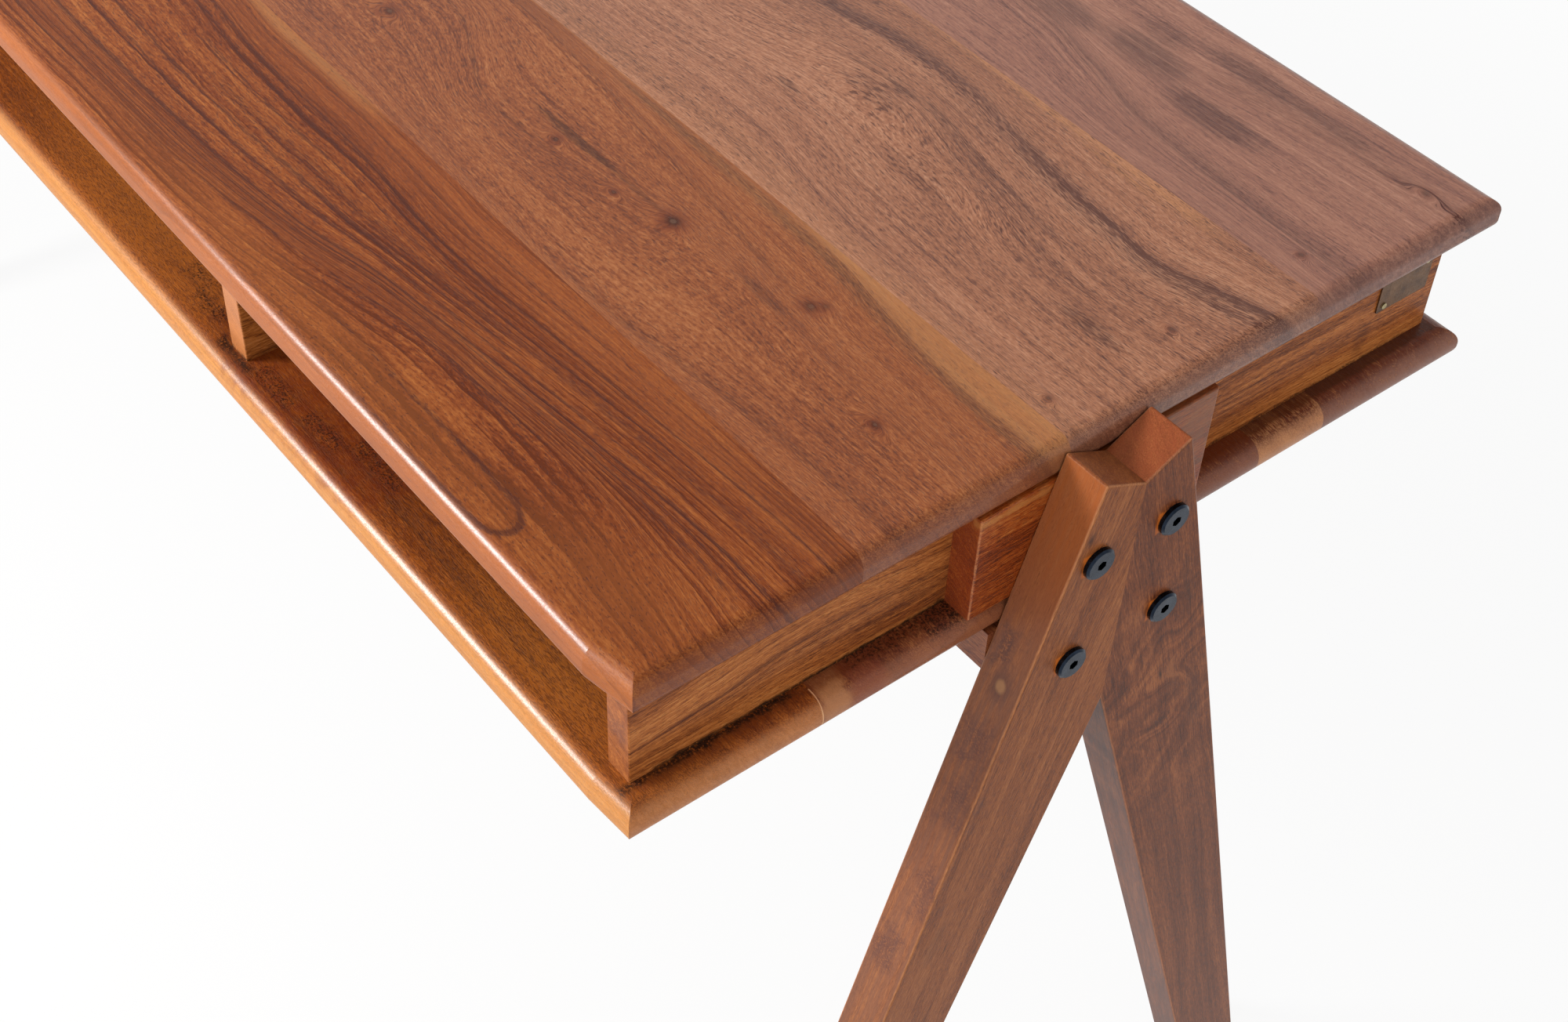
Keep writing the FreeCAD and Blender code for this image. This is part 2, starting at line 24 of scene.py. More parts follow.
# camera, matched to the photograph's lines
cameraSet = {
    "place": (1.22304, -0.67772, 1.56654),
    "right": (0.59131, 0.80644, -0.00094),
    "up": (-0.58644, 0.43080, 0.68593),
    "back": (0.55357, -0.40505, 0.72766),
    "lens": 53.421,
    "sensor": 36.0,
    "shift": (0.0766, 0.0191),
    "clip": (0.05, 60.0),
}


def setCamera(look):
    data = bpy.data.cameras.new("deskCamera")
    data.lens = look["lens"]
    data.sensor_width = look["sensor"]
    data.sensor_fit = "HORIZONTAL"
    data.shift_x, data.shift_y = look["shift"]
    data.clip_start, data.clip_end = look["clip"]
    eye = bpy.data.objects.new("deskCamera", data)
    scene.collection.objects.link(eye)
    turn = Matrix((look["right"], look["up"], look["back"])).transposed()
    eye.matrix_world = Matrix.Translation(look["place"]) @ turn.to_4x4()
    scene.camera = eye


setCamera(cameraSet)
print("camera set")


# short helpers for node trees
def place(tree, kind, **settings):
    node = tree.nodes.new(kind)
    for key, setting in settings.items():
        setattr(node, key, setting)
    return node


def feed(tree, socket, source):
    if isinstance(source, bpy.types.NodeSocket):
        tree.links.new(source, socket)
    else:
        socket.default_value = source


def calc(tree, operation, *terms, clamp=False):
    node = place(tree, "ShaderNodeMath", operation=operation, use_clamp=clamp)
    for socket, term in zip(node.inputs, terms):
        feed(tree, socket, term)
    return node.outputs[0]


def addUp(tree, *terms):
    total = terms[0]
    for term in terms[1:]:
        total = calc(tree, "ADD", total, term)
    return total


def times(tree, *terms):
    total = terms[0]
    for term in terms[1:]:
        total = calc(tree, "MULTIPLY", total, term)
    return total


def less(tree, first, second):
    return calc(tree, "SUBTRACT", first, second)


def scaled(tree, source, gain, start):
    return calc(tree, "MULTIPLY_ADD", source, gain, start)


def centred(tree, source, gain):  # swings about nought instead of a half
    return scaled(tree, source, gain, -0.5 * gain)


def ease(tree, source, low, high, lowTo=0.0, highTo=1.0):
    node = place(tree, "ShaderNodeMapRange", interpolation_type="SMOOTHSTEP")
    for socket, term in zip(node.inputs, (source, low, high, lowTo, highTo)):
        feed(tree, socket, term)
    return node.outputs[0]


def window(tree, source, rise, full, fall, gone):  # one between full and fall
    return times(tree, ease(tree, source, rise, full), ease(tree, source, fall, gone, 1.0, 0.0))


def tint(tree, share, colour, shade):
    node = place(tree, "ShaderNodeMix", data_type="RGBA")
    feed(tree, node.inputs[0], share)
    feed(tree, node.inputs[6], colour)
    node.inputs[7].default_value = paint(*shade)
    return node.outputs[2]


def vector(tree, x, y, z):
    node = place(tree, "ShaderNodeCombineXYZ")
    for socket, term in zip(node.inputs, (x, y, z)):
        feed(tree, socket, term)
    return node.outputs[0]


def vectorCalc(tree, operation, *terms):
    node = place(tree, "ShaderNodeVectorMath", operation=operation)
    for socket, term in zip(node.inputs, terms):
        feed(tree, socket, term)
    return node.outputs


def alongAxis(tree, at, axis):
    return vectorCalc(tree, "DOT_PRODUCT", at, axis)["Value"]


def stretched(tree, at, scale, shift=(0.0, 0.0, 0.0)):
    node = place(tree, "ShaderNodeMapping")
    feed(tree, node.inputs["Vector"], at)
    feed(tree, node.inputs["Location"], shift)
    node.inputs["Scale"].default_value = scale
    return node.outputs[0]


def noise(tree, at, scale=1.0, detail=2.0, roughness=0.5, curl=0.0):
    node = place(tree, "ShaderNodeTexNoise")
    feed(tree, node.inputs["Vector"], at)
    node.inputs["Scale"].default_value = scale
    node.inputs["Detail"].default_value = detail
    node.inputs["Roughness"].default_value = roughness
    node.inputs["Distortion"].default_value = curl
    return node.outputs[0]


def rampOf(tree, source, stops):
    node = place(tree, "ShaderNodeValToRGB")
    marks = node.color_ramp.elements
    for mark, (position, shade) in zip(marks, (stops[0], stops[-1])):
        mark.position = position
        mark.color = paint(*shade)
    for position, shade in stops[1:-1]:
        marks.new(position).color = paint(*shade)
    feed(tree, node.inputs[0], source)
    return node.outputs[0]


def bumpOf(tree, shader, height, distance):
    node = place(tree, "ShaderNodeBump")
    node.inputs["Strength"].default_value = 1.0
    node.inputs["Distance"].default_value = distance
    feed(tree, node.inputs["Height"], height)
    feed(tree, shader.inputs["Normal"], node.outputs[0])


def newMaterial(name):
    material = bpy.data.materials.new(name)
    material.use_nodes = True
    return material, material.node_tree, material.node_tree.nodes["Principled BSDF"]


def newGroup(name, vectors, numbers, outputs):
    tree = bpy.data.node_groups.new(name, "ShaderNodeTree")
    for label in vectors:
        tree.interface.new_socket(label, in_out="INPUT", socket_type="NodeSocketVector")
    for label in numbers:
        tree.interface.new_socket(label, in_out="INPUT", socket_type="NodeSocketFloat")
    for label in outputs:
        tree.interface.new_socket(label, in_out="OUTPUT", socket_type="NodeSocketFloat")
    given = place(tree, "NodeGroupInput").outputs
    result = place(tree, "NodeGroupOutput").inputs
    return tree, given, result


def useGroup(tree, group, values):
    node = place(tree, "ShaderNodeGroup", node_tree=group)
    for label, source in values.items():
        feed(tree, node.inputs[label], source)
    return node.outputs


def paint(red, green, blue):  # screen colour, 0 to 255, as the shader wants it
    def straight(level):
        level = level / 255
        return level / 12.92 if level <= 0.04045 else ((level + 0.055) / 1.055) ** 2.4
    return (straight(red), straight(green), straight(blue), 1.0)


# growth rings: Rows counts one for each ring line, some lines are loud and some faint
ringSet = {  # fields: scale along, by rows and by depth, shift, detail, roughness
    "slow": (0.005, 0.16, 0.01, 0.0, 2.0, 0.5),
    "quick": (0.03, 0.9, 0.05, 5.0, 3.0, 0.5),
    "loud": (0.006, 0.55, 0.02, 9.0, 2.0, 0.5),
    "bands": (0.003, 0.42, 0.03, 13.0, 3.0, 0.6),
    "fine": (0.009, 2.3, 0.3, 17.0, 4.0, 0.65),
    "tone": (0.006, 0.12, 0.02, 21.0, 2.0, 0.5),
    "slowBend": 5.0, "lineSharpness": 9.0, "lineDepth": 0.7, "slope": 0.3, "loudFrom": (0.36, 0.66),
}


def buildRings(look):
    inputs = ("Rows", "Along", "Depth", "Wander", "Seed")
    tree, given, result = newGroup("growthRings", (), inputs, ("Lines", "Bands", "Fine", "Tone"))
    rows, along, depth, seed = given["Rows"], given["Along"], given["Depth"], given["Seed"]

    def field(kind, source):
        alongScale, rowScale, depthScale, shift, detail, roughness = look[kind]
        at = vector(
            tree,
            times(tree, along, alongScale),
            times(tree, source, rowScale),
            addUp(tree, times(tree, depth, depthScale), seed, shift),
        )
        return noise(tree, at, 1.0, detail, roughness)

    slow = less(tree, field("slow", rows), 0.5)
    bent = scaled(tree, slow, times(tree, given["Wander"], look["slowBend"]), rows)
    quick = less(tree, field("quick", bent), 0.5)
    bent = scaled(tree, quick, given["Wander"], bent)
    saw = calc(tree, "FRACT", bent)
    line = times(tree, calc(tree, "POWER", saw, look["lineSharpness"]), look["lineDepth"])
    shade = scaled(tree, saw, look["slope"], line)
    loud = ease(tree, field("loud", bent), *look["loudFrom"])
    feed(tree, result["Lines"], times(tree, shade, loud))
    feed(tree, result["Bands"], field("bands", bent))
    feed(tree, result["Fine"], field("fine", bent))
    feed(tree, result["Tone"], field("tone", rows))
    return tree


# fibre and pores: fine marks drawn out along the grain, dots on end grain
fibreSet = {  # fields: scale, shift, detail, roughness
    "fibre": ((0.09, 1.3, 1.3), 3.0, 3.0, 0.6),
    "fleck": ((0.24, 1.3, 1.3), 17.0, 3.0, 0.65),
    "pore": ((0.35, 2.1, 2.1), 9.0, 1.0, 0.5),
    "dash": ((0.13, 1.5, 1.5), 29.0, 1.0, 0.5),
    "noneAt": 0.72, "shareReach": 0.2, "softness": 0.07,  # noise level where marks start
}


def buildFibre(look):
    inputs = ("Seed", "Pore Share", "Dash Share")
    outputs = ("Fibre", "Pores", "Dashes", "Flecks")
    tree, given, result = newGroup("woodFibre", ("Place",), inputs, outputs)

    def field(kind):
        scale, shift, detail, roughness = look[kind]
        away = vector(tree, given["Seed"], shift, shift)
        return noise(tree, stretched(tree, given["Place"], scale, away), 1.0, detail, roughness)

    def marks(kind, share):
        edge = scaled(tree, share, -look["shareReach"], look["noneAt"])
        return ease(tree, field(kind), edge, addUp(tree, edge, look["softness"]))

    feed(tree, result["Fibre"], field("fibre"))
    feed(tree, result["Flecks"], field("fleck"))
    feed(tree, result["Pores"], marks("pore", given["Pore Share"]))
    feed(tree, result["Dashes"], marks("dash", given["Dash Share"]))
    return tree


# a soft oval spot on the grain, for knots, eyes and smoky patches
def buildSpot():
    inputs = ("Along", "Across", "Centre Along", "Centre Across", "Half Along", "Half Across")
    tree, given, result = newGroup("grainSpot", (), inputs, ("Near", "Radius"))
    squares = []
    for side in ("Along", "Across"):
        offset = less(tree, given[side], given["Centre " + side])
        share = calc(tree, "DIVIDE", offset, given["Half " + side])
        squares.append(times(tree, share, share))
    total = addUp(tree, *squares)
    feed(tree, result["Radius"], calc(tree, "SQRT", total))
    feed(tree, result["Near"], calc(tree, "EXPONENT", times(tree, total, -1.0)))
    return tree


# a dark or pale band that follows one level of the grain between two places
bandFade = 40.0  # millimetres over which a band ends


def buildBand(fade):
    inputs = ("Grain", "Along", "Level", "Width", "Start", "End")
    tree, given, result = newGroup("grainBand", (), inputs, ("Band",))
    offset = less(tree, given["Grain"], given["Level"])
    share = calc(tree, "DIVIDE", offset, given["Width"])
    line = calc(tree, "EXPONENT", times(tree, share, share, -1.0))
    opens = less(tree, given["Start"], fade)
    closes = addUp(tree, given["End"], fade)
    reach = window(tree, given["Along"], opens, given["Start"], given["End"], closes)
    feed(tree, result["Band"], times(tree, line, reach))
    return tree


# leftover stain and wax with a ragged border, in a round-cornered box of the desk's own space; a few
# boxes hold painted shade and painted highlights instead
raggedBoxSet = {"coarse": (0.11, 3.0, 0.6), "fine": (0.7, 3.0, 0.7), "ragReach": 4.0, "gritSoftness": 0.14}


def buildRaggedBox(look):
    tree, given, result = newGroup("raggedBox", ("Place", "Centre", "Half"), ("Rag", "Grit"), ("Mask",))
    away = vectorCalc(tree, "SUBTRACT", given["Place"], given["Centre"])[0]
    over = vectorCalc(tree, "SUBTRACT", vectorCalc(tree, "ABSOLUTE", away)[0], given["Half"])[0]
    parts = place(tree, "ShaderNodeSeparateXYZ")
    feed(tree, parts.inputs[0], over)
    inner = calc(tree, "MAXIMUM", parts.outputs[1], parts.outputs[2])
    inner = calc(tree, "MAXIMUM", parts.outputs[0], inner)
    outer = vectorCalc(tree, "MAXIMUM", over, (0.0, 0.0, 0.0))[0]
    reach = vectorCalc(tree, "LENGTH", outer)["Value"]
    outside = addUp(tree, reach, calc(tree, "MINIMUM", inner, 0.0))
    coarse = noise(tree, given["Place"], *look["coarse"])
    fine = noise(tree, given["Place"], *look["fine"])
    rag = times(tree, less(tree, coarse, 0.5), given["Rag"], look["ragReach"])
    inside = times(tree, given["Rag"], -1.0)
    border = ease(tree, addUp(tree, outside, rag), inside, given["Rag"], 1.0, 0.0)
    grain = ease(tree, fine, given["Grit"], addUp(tree, given["Grit"], look["gritSoftness"]))
    feed(tree, result["Mask"], times(tree, border, grain))
    return tree


growthRings = buildRings(ringSet)
woodFibre = buildFibre(fibreSet)
grainSpot = buildSpot()
grainBand = buildBand(bandFade)
raggedBox = buildRaggedBox(raggedBoxSet)
print("shared groups built")


# directions of along, across and through the grain, in millimetres of the desk's own space
legLean = math.radians(16.5)
leanAlong = 1000 * math.cos(legLean)
leanAcross = 1000 * math.sin(legLean)
grainAxes = {
    "length": ((1000, 0, 0), (0, 1000, 0), (0, 0, 1000)),
    "depth": ((0, 1000, 0), (0, 0, 1000), (1000, 0, 0)),
    "wall": ((1000, 0, 0), (0, 0, 1000), (0, 1000, 0)),
    "frontLeg": ((0, leanAcross, leanAlong), (0, leanAlong, -leanAcross), (1000, 0, 0)),
    "rearLeg": ((0, -leanAcross, leanAlong), (0, leanAlong, leanAcross), (1000, 0, 0)),
}
boardShift = 75.0  # marks along the boards are given from 600 mm left of the right end
guideStart, guideEnd = -640.0, 640.0  # where every guide line starts and ends

# what every wood starts from; each piece's own dictionary changes what differs
plainWood = {
    "axes": "length",
    "span": (guideStart, guideEnd),
    "guides": (),  # lines of the grain: height at the start, spots between, height at the end
    "tilt": 0.5,  # how far the rings lean through the thickness
    "level": 0.0,
    "wobble": 5.0,
    "count": 6.0,  # ring lines from one guide to the next
    "wander": 0.5,
    "seed": 0.0,
    "dark": (88, 42, 26), "red": (116, 58, 36), "middle": (136, 76, 44), "light": (170, 106, 62),
    "bandGain": 0.8, "fineGain": 1.1, "fibreGain": 1.1, "fleckGain": 1.4, "toneGain": 0.4,
    "lineGain": 0.3,
    "pore": 0.6, "poreBands": 1.0, "poreColour": (70, 32, 24), "poreDepth": 0.35,
    "dash": 0.5, "dashColour": (78, 40, 32), "dashDepth": 0.65,
    "rag": 0.4,
    "bandColour": (70, 32, 24),
    "bands": (),  # grain level, width, start, end, strength, perhaps a colour
    "sapColour": (200, 142, 90),
    "saps": (),  # first and last grain level, start, end, strength
    "eyes": (),  # along, across, half sizes, lift of the grain
    "hooks": (),  # along, across, half sizes, number of arcs, strength
    "patches": (),  # along, across, half sizes, strength, colour
    "dots": (),  # the same, but smooth
    "sideDots": (),  # along, depth, half sizes, crispness, strength, colour
    "flames": (),  # along, across, half sizes, slant in degrees, gain
    "calms": (),  # along, across, half sizes, strength
    "knots": (),  # along, across, size, strength
    "stainsAndPaintedLight": (),  # centre, half sizes, rag, grit, strength, colour
    "sides": (),  # facing axis, low, high, strength, colour, perhaps a reach along the grain
    "arris": None,  # facing axis, strength, colour
    "gloss": None,  # facing axis, low, high, then start and end along the grain and their weights
    "roughness": 0.36,
    "sheen": 0.15,
    "coat": 0.15,
    "coatRough": 0.14,
    "bump": 0.00013,
}
leftSeed = 4.0
wobbleScale = {"along": 0.005, "across": 0.014}
mottleRange = (0.28, 0.72, 1.0, 0.5)
hookSet = {
    "rag": {"Tone": 0.2, "Fine": 0.06}, "sharpness": 4.0, "behind": 300.0,
    "inside": (0.3, 0.9, 0.9, 1.0), "insideDepth": 0.3, "rim": (0.7, 0.94, 1.0, 1.2),
}
markSet = {"patchEdge": (0.2, 1.0), "dashes": 0.9, "depth": 0.55}
flameSet = {
    "curl": (0.022, 1.0), "sway": 120.0, "scale": (0.018, 0.07, 1.0), "noise": (1.0, 4.0, 0.6, 0.6),
}
sapSet = {"rise": 0.08, "fall": 0.1, "fade": 60.0}
knotSet = {
    "bend": (4.0, 1.6), "lift": 0.2, "stretch": 1.25, "haloTo": (1.0, 3.2), "heartTo": (0.25, 0.5),
    "depth": 0.5, "halo": (112, 48, 30), "rim": (52, 28, 22), "heart": (128, 92, 72),
}
sideDotSet = {"rag": 0.5, "edge": 1.2, "axis": (0, 1, 0), "facing": (0.6, 0.9)}
arrisGain = 4.0
varnishSet = {"roughSwing": 0.2, "sparkle": (1.1, 3.0, 0.75), "sparkleTo": (0.4, 0.56, 0.5, 1.0)}
toneStops = {"dark": 0.05, "red": 0.33, "middle": 0.55, "light": 0.95}
heightGains = {"Pores": -0.6, "Dashes": -0.5, "Fibre": 0.3, "Flecks": 0.3}


def guideField(tree, look, along, across):
    # the grain coordinate counts up by one from each guide line to the next
    first, last = look["span"]
    guides = [((guideStart, left), *spots, (guideEnd, right)) for left, *spots, right in look["guides"]]
    heights = [spot[1] for guide in guides for spot in guide]
    low, high = min(heights) - 1.0, max(heights) + 1.0
    share = calc(tree, "DIVIDE", less(tree, along, first), last - first)
    lines = []
    for guide in guides:
        node = place(tree, "ShaderNodeFloatCurve")
        points = node.mapping.curves[0].points
        spots = [((x - first) / (last - first), (y - low) / (high - low)) for x, y in guide]
        points[0].location = spots[0]
        points[1].location = spots[-1]
        for spot in spots[1:-1]:
            points.new(*spot)
        node.mapping.update()
        feed(tree, node.inputs["Value"], share)
        lines.append(scaled(tree, node.outputs[0], high - low, low))
    steps = []
    for upper, lower in zip(lines, lines[1:]):
        gap = less(tree, upper, lower)
        steps.append(calc(tree, "DIVIDE", less(tree, upper, across), gap, clamp=True))
    return addUp(tree, *steps), (high - low) / len(steps)


def straightGuides(first, last, step):
    count = max(2, round(abs(last - first) / step) + 1)
    levels = [first + (last - first) * number / (count - 1) for number in range(count)]
    return tuple((level, level) for level in levels)


def oval(tree, along, across, spot):
    spotAlong, spotAcross, halfAlong, halfAcross = spot
    return useGroup(tree, grainSpot, {
        "Along": along, "Across": across, "Centre Along": spotAlong, "Centre Across": spotAcross,
        "Half Along": halfAlong, "Half Across": halfAcross,
    })


def startWood(name, look):
    material, tree, shader = newMaterial(name)
    at = place(tree, "ShaderNodeTexCoord").outputs["Object"]
    axes = grainAxes[look["axes"]]
    along, across, depth = [alongAxis(tree, at, axis) for axis in axes]
    seed = look["seed"]
    if axes[0][0]:
        along = less(tree, along, boardShift)
    if axes[2][0]:  # pieces of the left end mirror the right end, with other noise
        seed = scaled(tree, calc(tree, "GREATER_THAN", depth, 0.0), leftSeed, seed)
        depth = calc(tree, "ABSOLUTE", depth)
    inMm = place(tree, "ShaderNodeVectorMath", operation="SCALE")
    feed(tree, inMm.inputs[0], at)
    inMm.inputs["Scale"].default_value = 1000.0
    return SimpleNamespace(
        look=look, material=material, tree=tree, shader=shader, seed=seed,
        along=along, across=across, depth=depth, inMm=inMm.outputs[0],
        facing=place(tree, "ShaderNodeNewGeometry").outputs["Normal"],
    )


def layGrain(wood):
    # the grain's flow: guides, a slow wobble and a slope through the thickness
    tree, look, along = wood.tree, wood.look, wood.along
    slowAlong = times(tree, along, wobbleScale["along"])
    slowAcross = times(tree, wood.across, wobbleScale["across"])
    slowAt = vector(tree, slowAlong, slowAcross, wood.seed)
    wobble = less(tree, noise(tree, slowAt, 1.0, 2.0), 0.5)
    deep = less(tree, wood.depth, look["level"])
    wood.sloped = scaled(tree, deep, look["tilt"], wood.across)
    wood.flow = scaled(tree, wobble, look["wobble"] * 2.0, wood.sloped)
    grain, wood.pitch = guideField(tree, look, along, wood.flow)
    for *spot, lift in look["eyes"]:
        grain = scaled(tree, oval(tree, along, wood.sloped, spot)["Near"], lift, grain)
    for spotAlong, spotAcross, size, strength in look["knots"]:
        halves = [size * share for share in knotSet["bend"]]
        near = oval(tree, along, wood.sloped, (spotAlong, spotAcross, *halves))["Near"]
        grain = scaled(tree, near, knotSet["lift"] * strength, grain)
    wood.grain = grain
    wood.rings = useGroup(tree, growthRings, {
        "Rows": times(tree, grain, look["count"]), "Along": along, "Depth": wood.depth,
        "Wander": look["wander"], "Seed": wood.seed,
    })
    fine = wood.rings["Fine"]
    wood.ragged = addUp(tree, grain, centred(tree, fine, look["rag"]))
    wood.mottle = ease(tree, fine, *mottleRange)


def hookArc(wood, look, spot, arcs):
    # nested arcs with straight sides, loudest round the tip
    tree = wood.tree
    centre, half = spot[0], spot[2]
    radius = oval(tree, calc(tree, "MAXIMUM", wood.along, centre), wood.sloped, spot)["Radius"]
    ragged = [centred(tree, wood.rings[kind], gain) for kind, gain in look["rag"].items()]
    bent = addUp(tree, radius, *ragged)
    nest = calc(tree, "POWER", calc(tree, "FRACT", times(tree, bent, arcs)), look["sharpness"])
    inside = times(tree, window(tree, bent, *look["inside"]), look["insideDepth"])
    rim = window(tree, bent, *look["rim"])
    ahead = ease(tree, wood.along, centre - look["behind"], centre + half)
    return times(tree, scaled(tree, nest, inside, rim), ahead)


def drawMarks(wood):
    # marks that colour the wood and also draw dashes together
    tree, look = wood.tree, wood.look
    marks = []
    for level, width, start, end, strength, *shade in look["bands"]:
        band = useGroup(tree, grainBand, {
            "Grain": wood.ragged, "Along": wood.along, "Level": level, "Width": width,
            "Start": start, "End": end,
        })["Band"]
        marks.append((band, strength, shade[0] if shade else look["bandColour"]))
    for *spot, arcs, strength in look["hooks"]:
        marks.append((hookArc(wood, hookSet, spot, arcs), strength, look["bandColour"]))
    for *spot, strength, shade in look["patches"]:
        near = oval(tree, wood.along, wood.flow, spot)["Near"]
        grained = times(tree, near, addUp(tree, wood.rings["Fine"], wood.mottle))
        marks.append((ease(tree, grained, *markSet["patchEdge"]), strength, shade))
    wood.marks = marks


def layFibres(wood):
    tree, look, bands = wood.tree, wood.look, wood.rings["Bands"]
    lean = look["poreBands"]
    dashes = scaled(tree, bands, -lean, look["dash"] + 0.5 * lean)
    for mask, strength, shade in wood.marks:
        dashes = scaled(tree, mask, markSet["dashes"] * strength, dashes)
    for *spot, strength in look["calms"]:  # smooth stretches with few dashes
        near = oval(tree, wood.along, wood.flow, spot)["Near"]
        dashes = scaled(tree, near, -strength, dashes)
    wood.fibres = useGroup(tree, woodFibre, {
        "Place": vector(tree, wood.along, times(tree, wood.grain, wood.pitch), wood.depth),
        "Seed": wood.seed,
        "Pore Share": scaled(tree, bands, -lean, look["pore"] + 0.5 * lean),
        "Dash Share": dashes,
    })


def flameFigure(wood, look, spot, slant, gain):
    # wavy figure at a slant to the grain
    tree = wood.tree
    curl = noise(tree, vector(tree, wood.along, wood.across, wood.seed), *look["curl"])
    swayed = addUp(tree, wood.across, centred(tree, curl, look["sway"]))
    tilted = place(tree, "ShaderNodeVectorRotate", rotation_type="Z_AXIS")
    feed(tree, tilted.inputs["Vector"], vector(tree, wood.along, swayed, wood.seed))
    tilted.inputs["Angle"].default_value = math.radians(slant)
    figure = noise(tree, stretched(tree, tilted.outputs[0], look["scale"]), *look["noise"])
    near = oval(tree, wood.along, wood.across, spot)["Near"]
    return times(tree, centred(tree, figure, gain), near)


def woodTone(wood):
    tree, look, rings, fibres = wood.tree, wood.look, wood.rings, wood.fibres
    tone = addUp(
        tree,
        scaled(tree, rings["Bands"], look["bandGain"], 0.5 - 0.5 * look["bandGain"]),
        centred(tree, rings["Fine"], look["fineGain"]),
        centred(tree, rings["Tone"], look["toneGain"]),
        centred(tree, fibres["Fibre"], look["fibreGain"]),
        centred(tree, fibres["Flecks"], look["fleckGain"]),
        times(tree, rings["Lines"], -look["lineGain"]),
    )
    for *spot, slant, gain in look["flames"]:
        tone = addUp(tree, tone, flameFigure(wood, flameSet, spot, slant, gain))
    return tone


def tintFigure(wood):
    tree, look, along, mottle = wood.tree, wood.look, wood.along, wood.mottle
    colour = rampOf(tree, woodTone(wood), [(stop, look[shade]) for shade, stop in toneStops.items()])
    for first, last, start, end, strength in look["saps"]:
        rise, fall, fade = sapSet["rise"], sapSet["fall"], sapSet["fade"]
        body = window(tree, wood.ragged, first - rise, first + rise, last - fall, last + fall)
        reach = window(tree, along, start - fade, start, end, end + fade)
        mask = times(tree, body, reach, strength, mottle)
        colour = tint(tree, mask, colour, look["sapColour"])
    for mask, strength, shade in wood.marks:
        colour = tint(tree, times(tree, mask, markSet["depth"] * strength, mottle), colour, shade)
    for *spot, strength, shade in look["dots"]:
        mask = times(tree, oval(tree, along, wood.across, spot)["Near"], strength)
        colour = tint(tree, mask, colour, shade)
    for spotAlong, spotAcross, size, strength in look["knots"]:
        spot = oval(tree, along, wood.sloped, (spotAlong, spotAcross, size * knotSet["stretch"], size))
        soft = knotSet["depth"] * strength
        layers = {
            "halo": ease(tree, spot["Radius"], *knotSet["haloTo"], soft, 0.0),
            "rim": calc(tree, "MULTIPLY", spot["Near"], strength, clamp=True),
            "heart": ease(tree, spot["Radius"], *knotSet["heartTo"], soft, 0.0),
        }
        for layer, mask in layers.items():
            colour = tint(tree, mask, colour, knotSet[layer])
    for kind, mark in (("Dashes", "dash"), ("Pores", "pore")):
        mask = times(tree, wood.fibres[kind], look[mark + "Depth"])
        colour = tint(tree, mask, colour, look[mark + "Colour"])
    return colour


def turnedTo(wood, axis):
    return calc(wood.tree, "ABSOLUTE", alongAxis(wood.tree, wood.facing, axis))


def tintFaces(wood, colour):
    # faces that look one way, such as end grain or a rubbed front edge; on the legs some face colours
    # are painted shade, painted light and painted sheen
    tree, look, flecks = wood.tree, wood.look, wood.fibres["Flecks"]
    for axis, low, high, strength, shade, *reach in look["sides"]:
        mask = times(tree, ease(tree, turnedTo(wood, axis), low, high, 0.0, strength), wood.mottle)
        if reach:
            mask = times(tree, mask, ease(tree, wood.along, *reach))
        colour = tint(tree, mask, colour, shade)
    for *spot, crisp, strength, shade in look["sideDots"]:  # spots on the narrow side of a leg
        radius = oval(tree, wood.along, wood.depth, spot)["Radius"]
        bent = addUp(tree, radius, centred(tree, flecks, sideDotSet["rag"]))
        narrow = ease(tree, turnedTo(wood, sideDotSet["axis"]), *sideDotSet["facing"])
        mask = times(tree, ease(tree, bent, crisp, sideDotSet["edge"], strength, 0.0), narrow)
        colour = tint(tree, mask, colour, shade)
    if look["arris"]:  # corners between two faces made lighter: partly rubbed wear, partly painted highlight
        axis, strength, shade = look["arris"]
        turned = turnedTo(wood, axis)
        square = times(tree, turned, turned)
        edgeWearAndGlint = times(tree, square, less(tree, 1.0, square), arrisGain)
        mask = calc(tree, "MULTIPLY", times(tree, edgeWearAndGlint, strength), flecks, clamp=True)
        colour = tint(tree, mask, colour, shade)
    # stains, and a few boxes of painted shade and painted highlight
    for centre, half, rag, grit, strength, shade in look["stainsAndPaintedLight"]:
        mask = useGroup(tree, raggedBox, {
            "Place": wood.inMm, "Centre": centre, "Half": half, "Rag": rag, "Grit": grit,
        })["Mask"]
        colour = tint(tree, times(tree, mask, strength), colour, shade)
    return colour


def varnish(wood):
    tree, look, sockets = wood.tree, wood.look, wood.shader.inputs
    flecks = wood.fibres["Flecks"]
    swing = varnishSet["roughSwing"]
    rough = scaled(tree, flecks, swing, look["roughness"] - 0.5 * swing)
    feed(tree, sockets["Roughness"], rough)
    polish = look["coat"]
    if look["gloss"]:  # a front edge rubbed bright, most at one end of it
        axis, low, high, *reach = look["gloss"]
        most = ease(tree, wood.along, *reach)
        polish = ease(tree, turnedTo(wood, axis), low, high, look["coat"], most)
    sparkle = ease(tree, noise(tree, wood.inMm, *varnishSet["sparkle"]), *varnishSet["sparkleTo"])
    feed(tree, sockets["Coat Weight"], times(tree, sparkle, polish))
    sockets["Coat Roughness"].default_value = look["coatRough"]
    sockets["Specular IOR Level"].default_value = look["sheen"]
    heights = [times(tree, wood.fibres[kind], gain) for kind, gain in heightGains.items()]
    bumpOf(tree, wood.shader, addUp(tree, *heights), look["bump"])


